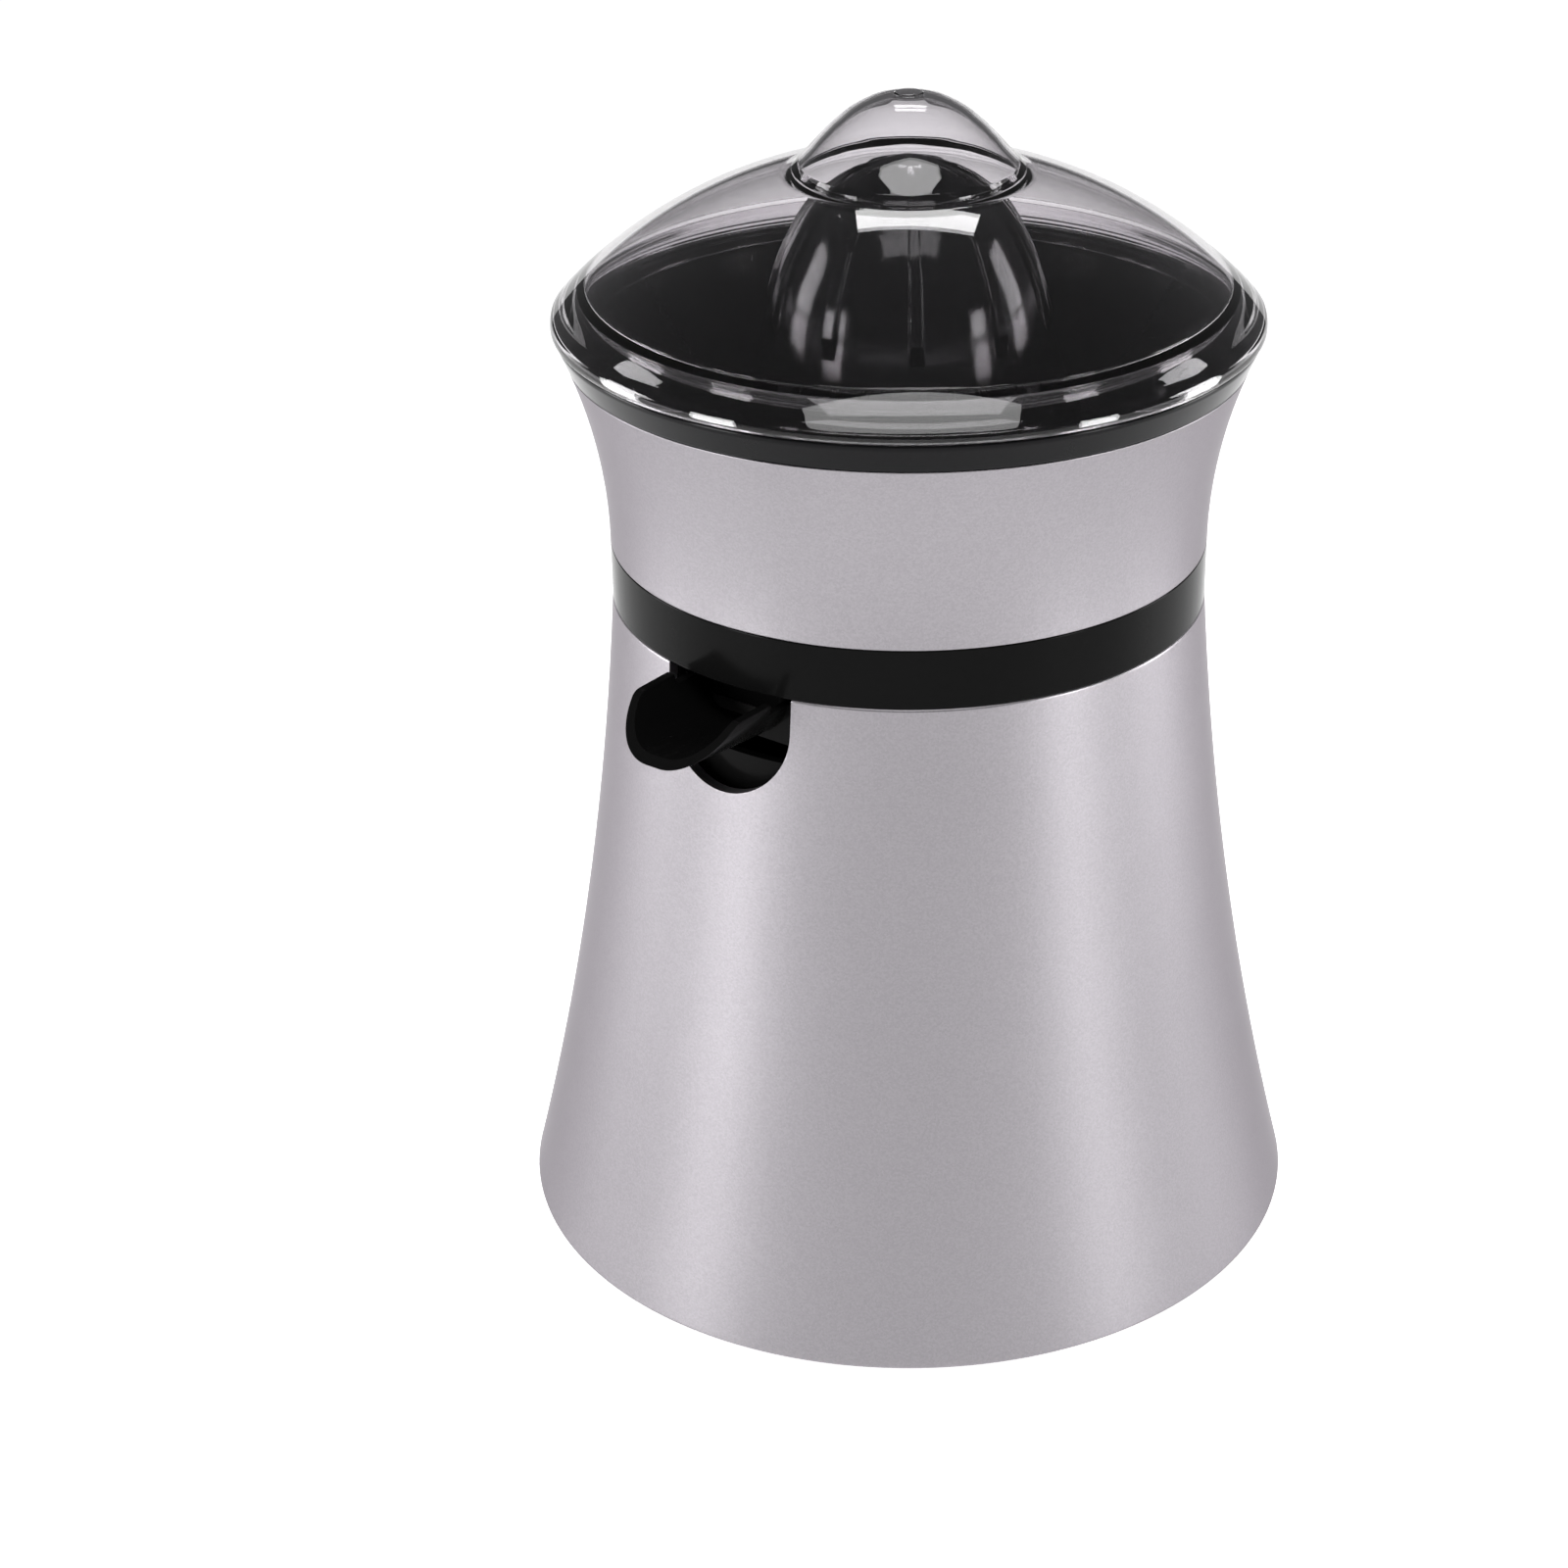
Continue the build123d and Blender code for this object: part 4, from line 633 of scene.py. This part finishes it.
def roundedBox(halfX, halfY, corner, middle=(0, 0), steps=7):
    shape = []
    for turn, (sx, sy) in enumerate(((1, 1), (-1, 1), (-1, -1), (1, -1))):
        centre = (middle[0] + sx * (halfX - corner), middle[1] + sy * (halfY - corner))
        shape += arcPoints(centre, corner, turn * pi / 2, (turn + 1) * pi / 2, steps)
    return shape


def makeCollector(look):
    low, rimTop = top("lower_housing"), top("juice_collector")
    bandTop = bottom("upper_collar")
    # the band and cup take the darker, shaded copy of the gloss black
    black, wall, neck = finishes["shadedBandBlack"], look["wall"], housing["neckRadius"]
    cup = flaredSide(neck, look["flare"], bandTop, top("upper_collar"), look["cupInset"], 60)
    cup = [spot for spot in cup if spot[1] <= rimTop]
    cupInside = [(radius - wall, height) for radius, height in cup]
    floor = low + look["gutterFloor"]
    # outside of the band and cup, then its inside, the gutter, the chimney and the skirt
    outline = [(neck, low), (neck, bandTop), *cup, *cupInside[::-1]]
    outline.append((neck - look["cupInset"] - wall, floor))
    chimney, chimneyTop, hill = look["chimney"], bottom("reamer"), floor + look["gutterRise"]
    outline += [(chimney + wall, hill), (chimney + wall, chimneyTop)]
    outline += [(chimney, chimneyTop), (chimney, hill - wall)]
    inSkirt, outSkirt = look["skirt"]
    skirtLow = low - look["skirtDepth"]
    outline += [(inSkirt, floor - look["floorWall"]), (inSkirt, skirtLow)]
    outline += [(outSkirt, skirtLow), (outSkirt, low)]
    body = lathe("collectorBody", eased(outline, look["edge"], 3, 25), black, 240)
    gap = look["skirtGap"]
    half, front, back = gap["half"], gap["front"], gap["back"]
    shape = [(-half, front), (half, front), (half, back), (-half, back)]
    cutWith(body, slab("gap", shape, low - gap["depth"], low, black))
    duct = look["outlet"]
    middle, deep = (0, duct["middle"]), duct["length"] / 2
    mouth = roundedBox(duct["half"], deep, duct["corner"], middle)
    cutWith(body, slab("mouth", mouth, duct["low"] - duct["below"], floor + duct["above"], black))
    smoothed(body)
    outer = roundedBox(duct["half"] + duct["wall"], deep + duct["wall"], duct["outerCorner"], middle)
    tube = slab("tube", outer, duct["low"], floor, black)
    cutWith(tube, slab("bore", mouth, duct["low"] - 1, floor + 1, black))
    lug = look["lugs"]
    parts = [smoothed(tube, lug["edge"])]
    lugTop, front = floor + lug["overlap"], lug["middle"] - lug["half"]
    for side in (-1, 1):
        shape = [(front, lugTop), (front, lug["low"] + lug["nose"])]
        shape += arcPoints((lug["middle"], lug["low"] + lug["half"]), lug["half"], pi, 2 * pi, 13)
        shape += [(lug["middle"] + lug["half"], lugTop)]
        ear = slab("lug", shape, side * lug["inner"], side * lug["outer"], black, "x")
        parts.append(smoothed(ear, lug["edge"]))
    fittings = joined("collectorOutlet", parts)
    wear(body, "collector", "black_gloss", "juice_collector")
    return wear(fittings, "collector", "black_gloss", "juice_collector")


makeCollector(collector)
print("collector made")

# silver collar

collar = {"wall": 2.2, "edge": 0.8, "steps": 288}


def makeCollar(look):
    low, high = bottom("upper_collar"), top("upper_collar")
    neck, flare = housing["neckRadius"], collector["flare"]
    outside = flaredSide(neck, flare, low, high, 0, 70)
    inside = flaredSide(neck, flare, low, high, look["wall"], 40)
    outline = eased(outside + inside[::-1], look["edge"], 5, 40)
    ring = smoothed(lathe("collarRing", outline, finishes["silver"], look["steps"]))
    return wear(ring, "collector", "silver", "upper_collar")


makeCollar(collar)
print("collar made")

# black bowl with its slotted strainer

bowl = {
    "rim": (73.2, 75.7),
    "mouth": 70.2,
    "strainer": 46.0,
    "wall": 2.2,
    "hole": 15.2,
    "slots": 30,
    "slotLength": 15.0,
    "slotStart": 26.0,
    "slotWidth": 1.6,
    "edge": 0.9,
}


def makeBowl(look):
    rimTop, floor = top("bowl"), bottom("bowl") + 2
    rimLow = top("upper_collar")
    slope = (rimTop - 2 - floor) / (look["mouth"] - look["strainer"])
    step = look["wall"] * sqrt(1 + 1 / slope**2)
    low, high = look["rim"]
    mouth, hole, strainer = look["mouth"], look["hole"], look["strainer"]
    # the rim's outside and top, the inside, the collar round the hole, then the underside
    outline = [(low, rimLow + 0.05), (low + 0.4, rimLow + 1.1)]
    outline += [(high - 0.25, rimTop - 0.9), (high - 0.3, rimTop)]
    outline += [(mouth + 2.4, rimTop), (mouth + 2.0, rimTop - 0.7), (mouth + 1.0, rimTop - 0.7)]
    outline += [(mouth, rimTop - 2), (strainer, floor)]
    outline += [(hole + 1.8, floor), (hole + 1.8, floor + 4), (hole, floor + 4)]
    outline += [(hole, floor - 2), (strainer + step - 2 / slope, floor - 2)]
    outline += [(mouth + step - 4.4 / slope, rimLow + 0.05)]
    # the bowl takes the darker, shaded copy of the gloss black
    dish = lathe("bowlDish", eased(outline, look["edge"], 5, 20), finishes["shadedBowlBlack"], 240)
    cutters = []
    half = look["slotWidth"] / 2
    start, end = look["slotStart"] + half, look["slotStart"] + look["slotLength"] - half
    flat = arcPoints((end, 0), half, -pi / 2, pi / 2, 7)
    flat += arcPoints((start, 0), half, pi / 2, 3 * pi / 2, 7)
    for i in range(look["slots"]):
        turn = 2 * pi * i / look["slots"]
        spun = [(x * cos(turn) - y * sin(turn), x * sin(turn) + y * cos(turn)) for x, y in flat]
        cutters.append(slab("slot", spun, floor - 4, floor + 2, finishes["shadedBowlBlack"]))
    cutWith(dish, joined("slots", cutters))
    return wear(smoothed(dish), "collector", "black_gloss", "bowl")


makeBowl(bowl)
print("bowl made")

# black reamer with its fluted cone

reamer = {
    # (radius, height below the tip) down the plain cone between the ribs
    "side": [(0, 0.0), (3.4, 0.25), (6.5, 1.2), (11.5, 3.6), (17.0, 7.4), (20.8, 11.4), (24.0, 16.4),
             (27.6, 24.0), (30.4, 34.4), (32.4, 42.0), (35.0, 50.0), (38.5, 60.0)],
    "inside": [(36.2, 60.0), (32.6, 50.0), (29.4, 40.0), (25.6, 31.0), (20.2, 24.0), (12.5, 17.5),
               (0, 14.5)],
    "tipDrop": 0.8,
    "steps": 1440,
    "ribs": 10,
    "firstRib": -87.0,
    "ribHeight": 1.5,
    "ribStart": 1.0,
    "ribEnd": 35.5,
    "ribFade": 5.0,
    "ribWidth": (1.2, 2.7),
    "flank": 0.16,
    "flankPower": 1.5,
    "hub": 11.5,
    "hubRise": 5.8,
    "hubDrop": 16,
    "socket": 7.86,
    "socketDrop": 20,
    "edge": 0.3,
}


def easeIn(value):
    t = min(1.0, max(0.0, value))
    return t * t * (3 - 2 * t)


def spread(knots, count):
    # a smooth curve through the knots, with count steps from each to the next
    knots = [Vector(k) for k in knots]
    chain = [knots[0] * 2 - knots[1], *knots, knots[-1] * 2 - knots[-2]]
    result = []
    for i in range(1, len(chain) - 2):
        a, b, c, d = chain[i - 1 : i + 3]
        bend, twist = 2 * a - 5 * b + 4 * c - d, 3 * b - a - 3 * c + d
        for step in range(count):
            t = step / count
            result.append(0.5 * (2 * b + (c - a) * t + bend * t**2 + twist * t**3))
    return result + [knots[-1]]


def makeReamer(look):
    tip, low = top("reamer") - look["tipDrop"], bottom("reamer")
    side = [(p[0], p[1]) for p in spread(look["side"], 14)][1:]
    steps, pitch = look["steps"], 2 * pi / look["ribs"]
    points, rings, faces = [(0, 0, tip)], [[0] * steps], []
    for radius, drop in side:
        ring = []
        share = min(1.0, drop / look["ribEnd"])
        narrow, wide = look["ribWidth"]
        half = (narrow + (wide - narrow) * share) / 2
        fade = easeIn(drop / look["ribStart"] / 3) * easeIn((look["ribEnd"] - drop) / look["ribFade"])
        for k in range(steps):
            turn = 2 * pi * k / steps
            off = (turn - radians(look["firstRib"]) + pitch / 2) % pitch - pitch / 2
            # away is how far a point lies from the rib's flat crest
            away = max(0.0, abs(off) * radius - half)
            out = radius + look["ribHeight"] * fade * exp(-((away / look["flank"]) ** look["flankPower"]))
            ring.append(len(points))
            points.append((out * cos(turn), out * sin(turn), tip - drop))
        rings.append(ring)
    for radius, drop in [(p[0], p[1]) for p in spread(look["inside"], 5)]:
        if radius < 1e-6:
            rings.append([len(points)] * steps)
            points.append((0, 0, tip - drop))
            continue
        rings.append(list(range(len(points), len(points) + steps)))
        for k in range(steps):
            turn = 2 * pi * k / steps
            points.append((radius * cos(turn), radius * sin(turn), tip - drop))
    for ring, onward in zip(rings, rings[1:]):
        for k in range(steps):
            corners = [ring[k], ring[(k + 1) % steps], onward[(k + 1) % steps], onward[k]]
            face = list(dict.fromkeys(corners))
            if len(face) > 2:
                faces.append(face)
    cone = smoothed(makePiece("reamerCone", points, faces, finishes["glossBlack"]))
    black = finishes["glossBlack"]
    hub = slab("reamerHub", circle(look["hub"], 72), low + look["hubRise"], tip - look["hubDrop"], black)
    cutWith(hub, slab("hex", circle(look["socket"], 6), low, tip - look["socketDrop"], black))
    smoothed(hub, look["edge"])
    wear(cone, "reamer", "black_gloss", "reamer")
    return wear(hub, "reamer", "black_gloss", "reamer")


makeReamer(reamer)
print("reamer made")

# clear lid

lid = {
    "capRadius": 104.8,
    "shoulder": 74.9,
    "shoulderRise": 3.6,
    "wall": 1.8,
    # (radius, height above the dome's foot) from its top down to where it runs into the cap
    "dome": [(0, 16.1), (4.0, 15.8), (8.0, 14.8), (12.0, 12.7), (15.5, 9.9), (18.6, 6.9), (21.3, 3.9),
             (23.2, 1.9), (24.6, 0.5)],
    "domeEdge": 24.0,
    "domeFillet": 2.4,
    "domeWall": 1.7,
    "capEdge": (74.0, 0.9),
    # (radius, height above the shoulder or the foot) round the rim
    "rimAbove": [(75.2, -0.35), (75.95, -1.2)],
    "rimBelow": [(76.25, 1.4), (76.3, 0.4)],
    "rimInside": 71.0,
    "locator": (67.7, 69.2),
    "locatorDrop": 2.6,
    "locatorEase": 0.2,
    "underRim": [(75.9, 0.0), (74.3, 0.0), (74.1, 1.3), (73.0, 2.2), (72.2, 3.1)],
    "pip": 3.2,
    "pipHeight": 0.35,
}


def makeLid(look):
    low = bottom("lid") + look["locatorDrop"]
    shoulder = low + look["shoulderRise"]
    capCentre = shoulder - sqrt(look["capRadius"] ** 2 - look["shoulder"] ** 2)
    wall, edge = look["wall"], look["domeEdge"]
    innerCap = look["capRadius"] - wall
    edgeHeight = capCentre + sqrt(look["capRadius"] ** 2 - edge**2)
    dome = [(p[0], p[1] + edgeHeight) for p in spread(look["dome"], 8)]
    domeTop, pip = dome[0][1], look["pip"]
    outline = [(0, domeTop + look["pipHeight"]), (pip - 0.5, domeTop + look["pipHeight"] - 0.1)]
    outline += [(pip, domeTop - 0.2)] + [spot for spot in dome if spot[0] > pip + 0.4]

    def capAngle(radius, sphere):
        return atan2(sqrt(sphere**2 - radius**2), radius)

    def underCap(radius):
        return capCentre + sqrt(innerCap**2 - radius**2)

    # the cap from the dome out to its edge, then the rim
    capEdge, capRise = look["capEdge"]
    end = atan2(shoulder + capRise - capCentre, capEdge)
    start = capAngle(edge + look["domeFillet"], look["capRadius"])
    outline += arcPoints((0, capCentre), look["capRadius"], start, end, 60)
    outline += [(radius, shoulder + rise) for radius, rise in look["rimAbove"]]
    outline += [(radius, low + rise) for radius, rise in look["rimBelow"] + look["underRim"]]
    # the locating ring under the cap, then the cap's underside back to the dome
    inner, outer = look["locator"]
    ringLow = low - look["locatorDrop"] + look["locatorEase"]
    outline += [(look["rimInside"], underCap(look["rimInside"])), (outer, underCap(outer)), (outer, ringLow)]
    outline += [(inner, ringLow), (inner, underCap(inner))]
    innerEdge = edge - 0.6
    start, end = capAngle(inner - 1, innerCap), capAngle(innerEdge, innerCap)
    outline += arcPoints((0, capCentre), innerCap, start, end, 60)
    # the inside of the dome is its outside moved in along the normal
    inside = []
    for before, here, after in zip(dome, dome[1:], dome[2:]):
        along = Vector((after[0] - before[0], after[1] - before[1])).normalized()
        spot = Vector(here) + Vector((along.y, -along.x)) * look["domeWall"]
        if 0.5 < spot.x < innerEdge - 1.2:
            inside.append((spot.x, spot.y))
    outline += inside[::-1] + [(0, domeTop - look["domeWall"])]
    shell = lathe("lidShell", eased(outline, 0.3, 3, 24), finishes["clear"], 288)
    return wear(smoothed(shell), "lid", "clear", "lid")


makeLid(lid)
print("lid made")

# black spout

spout = {
    "half": 13.8,
    "wall": 1.8,
    "floor": 137.5,
    "rise": 2.6,
    "root": 59.2,
    "reach": 89.0,
    "back": 42.2,
    "rearRim": 147.0,
    "rim": 149.3,
    "rimStart": 67.0,
    "mouthTop": 77.8,
    "browRound": 4.5,
    "edgeRound": 12.2,
    "edge": 0.35,
    "hinge": (-38.0, 145.0),
    "hingeArm": 3.6,
    "pinHole": 2.05,
    "cutTop": 175,
}


def trough(look, inset, start, end, base):
    # a round-bottomed bar along the spout, its floor rising towards the tip
    half, curve = look["half"] - inset, look["edgeRound"] - inset
    low = look["floor"] + inset
    outline = [(half, base)] + arcPoints((half - curve, low + curve), curve, 0, -pi / 2, 25)
    outline += arcPoints((curve - half, low + curve), curve, -pi / 2, -pi, 25) + [(-half, base)]
    bar = slab("trough", outline, -end, -start, finishes["shadedBandBlack"], "y")
    for spot in bar.data.vertices:
        run = (-spot.co.y * 1000 - look["root"]) / (look["reach"] - look["root"])
        spot.co.z += look["rise"] / 1000 * run
    return bar


def makeSpout(look):
    # the spout takes the darker, shaded copy of the gloss black
    black = finishes["shadedBandBlack"]
    wall, root, rear = look["wall"], look["root"], look["rearRim"]
    half, reach, cutTop = look["half"], look["reach"], look["cutTop"]
    gutter = trough(look, 0, root, reach + 2, 160)
    tipFloor = look["floor"] + look["rise"]
    slope = (look["rim"] - tipFloor) / (reach - look["mouthTop"])
    # the mouth falls on a slant from the rim, with a rounded brow
    lean = atan2(slope, 1)
    tangent = look["browRound"] * sin(lean / 2) / cos(lean / 2)
    brow = (-(look["mouthTop"] - tangent), look["rim"] - look["browRound"])
    above = [(-root + 5, rear), (-look["rimStart"], rear), (-look["rimStart"], look["rim"])]
    above += arcPoints(brow, look["browRound"], pi / 2, pi / 2 + lean, 9)
    above += [(-(reach + 4), tipFloor - 4 * slope), (-(reach + 9), 130)]
    above += [(-(reach + 9), 172), (-root + 5, 172)]
    cutWith(gutter, slab("mouth", above, -20, 20, black, "x"))
    cutWith(gutter, trough(look, wall, root - 5, reach + 9, cutTop))
    parts = [smoothed(gutter, look["edge"], 30, 3)]
    # the tray under the outlet, open to the gutter
    low, end, back = look["floor"], root + wall, look["back"]
    tray = slab("tray", [(-half, -end), (half, -end), (half, -back), (-half, -back)], low, rear, black)
    inner = half - wall
    hollow = [(-inner, -root), (inner, -root), (inner, -back - wall), (-inner, -back - wall)]
    cutWith(tray, slab("hollow", hollow, low + wall, rear + 4, black))
    cutWith(tray, trough(look, wall, root - 2, reach, cutTop))
    parts.append(smoothed(tray, look["edge"]))
    # two arms that reach back to the hinge pin
    y, z = look["hinge"]
    thick, hole = look["hingeArm"], circle(look["pinHole"], 24, look["hinge"])
    for side in (-1, 1):
        shape = arcPoints((y, z), thick, pi / 2, -pi / 2, 15) + [(-back - 2, z - thick), (-back - 2, z + 2)]
        arm = slab("arm", shape, side * inner, side * half, black, "x")
        cutWith(arm, slab("hole", hole, side * (inner - 1), side * (half + 1), black, "x"))
        parts.append(smoothed(arm, 0.2))
    whole = joined("spoutScoop", parts)
    return wear(whole, "spout", "black_gloss", "spout")


makeSpout(spout)
print("spout made")

# finishes of the pieces that keep their shape

worn = {
    "matteBlack": ["base_plate", "drive_coupler", "switch_body"],
    "footRubber": ["rubber_feet", "cord_inlet", "spout_seal"],
    # the deck takes the darker, shaded copy of the gloss black
    "shadedBandBlack": ["top_deck"],
    "greyPlastic": ["gearbox_case", "gearbox_cover", "cooling_fan"],
    "whiteNylon": ["output_gear", "intermediate_gear", "thrust_plunger", "switch_button", "coil_bobbin",
                   "motor_pinion"],
    "greySeal": ["shaft_seal"],
    "brushedSteel": ["base_screws", "deck_screws", "gearbox_screws", "intermediate_axle", "drive_shaft",
                     "return_spring", "switch_lever", "switch_screws", "motor_screws", "motor_shaft",
                     "spout_pin"],
    "coreSteel": ["stator_core", "rotor_core"],
    "castAluminium": ["upper_motor_bracket", "lower_motor_bracket"],
    "bearingBronze": ["shaft_bush", "output_bush", "motor_bushes"],
    "wire": ["coil_winding"],
}
for finish, names in worn.items():
    for name in names:
        mesh = nodes[name].data
        mesh.materials.clear()
        mesh.materials.append(finishes[finish])
print("kept pieces finished:", sum(len(names) for names in worn.values()))

# floor

reach, drop = paleFloor["reach"], paleFloor["drop"]
corners = [(-reach, -reach, -drop), (reach, -reach, -drop), (reach, reach, -drop), (-reach, reach, -drop)]
floorMesh = bpy.data.meshes.new("floor")
floorMesh.from_pydata(corners, [], [(0, 1, 2, 3)])
floorMesh.materials.append(floorPaint(paleFloor))
floor = bpy.data.objects.new("floor", floorMesh)
view.collection.objects.link(floor)

bpy.context.view_layer.update()
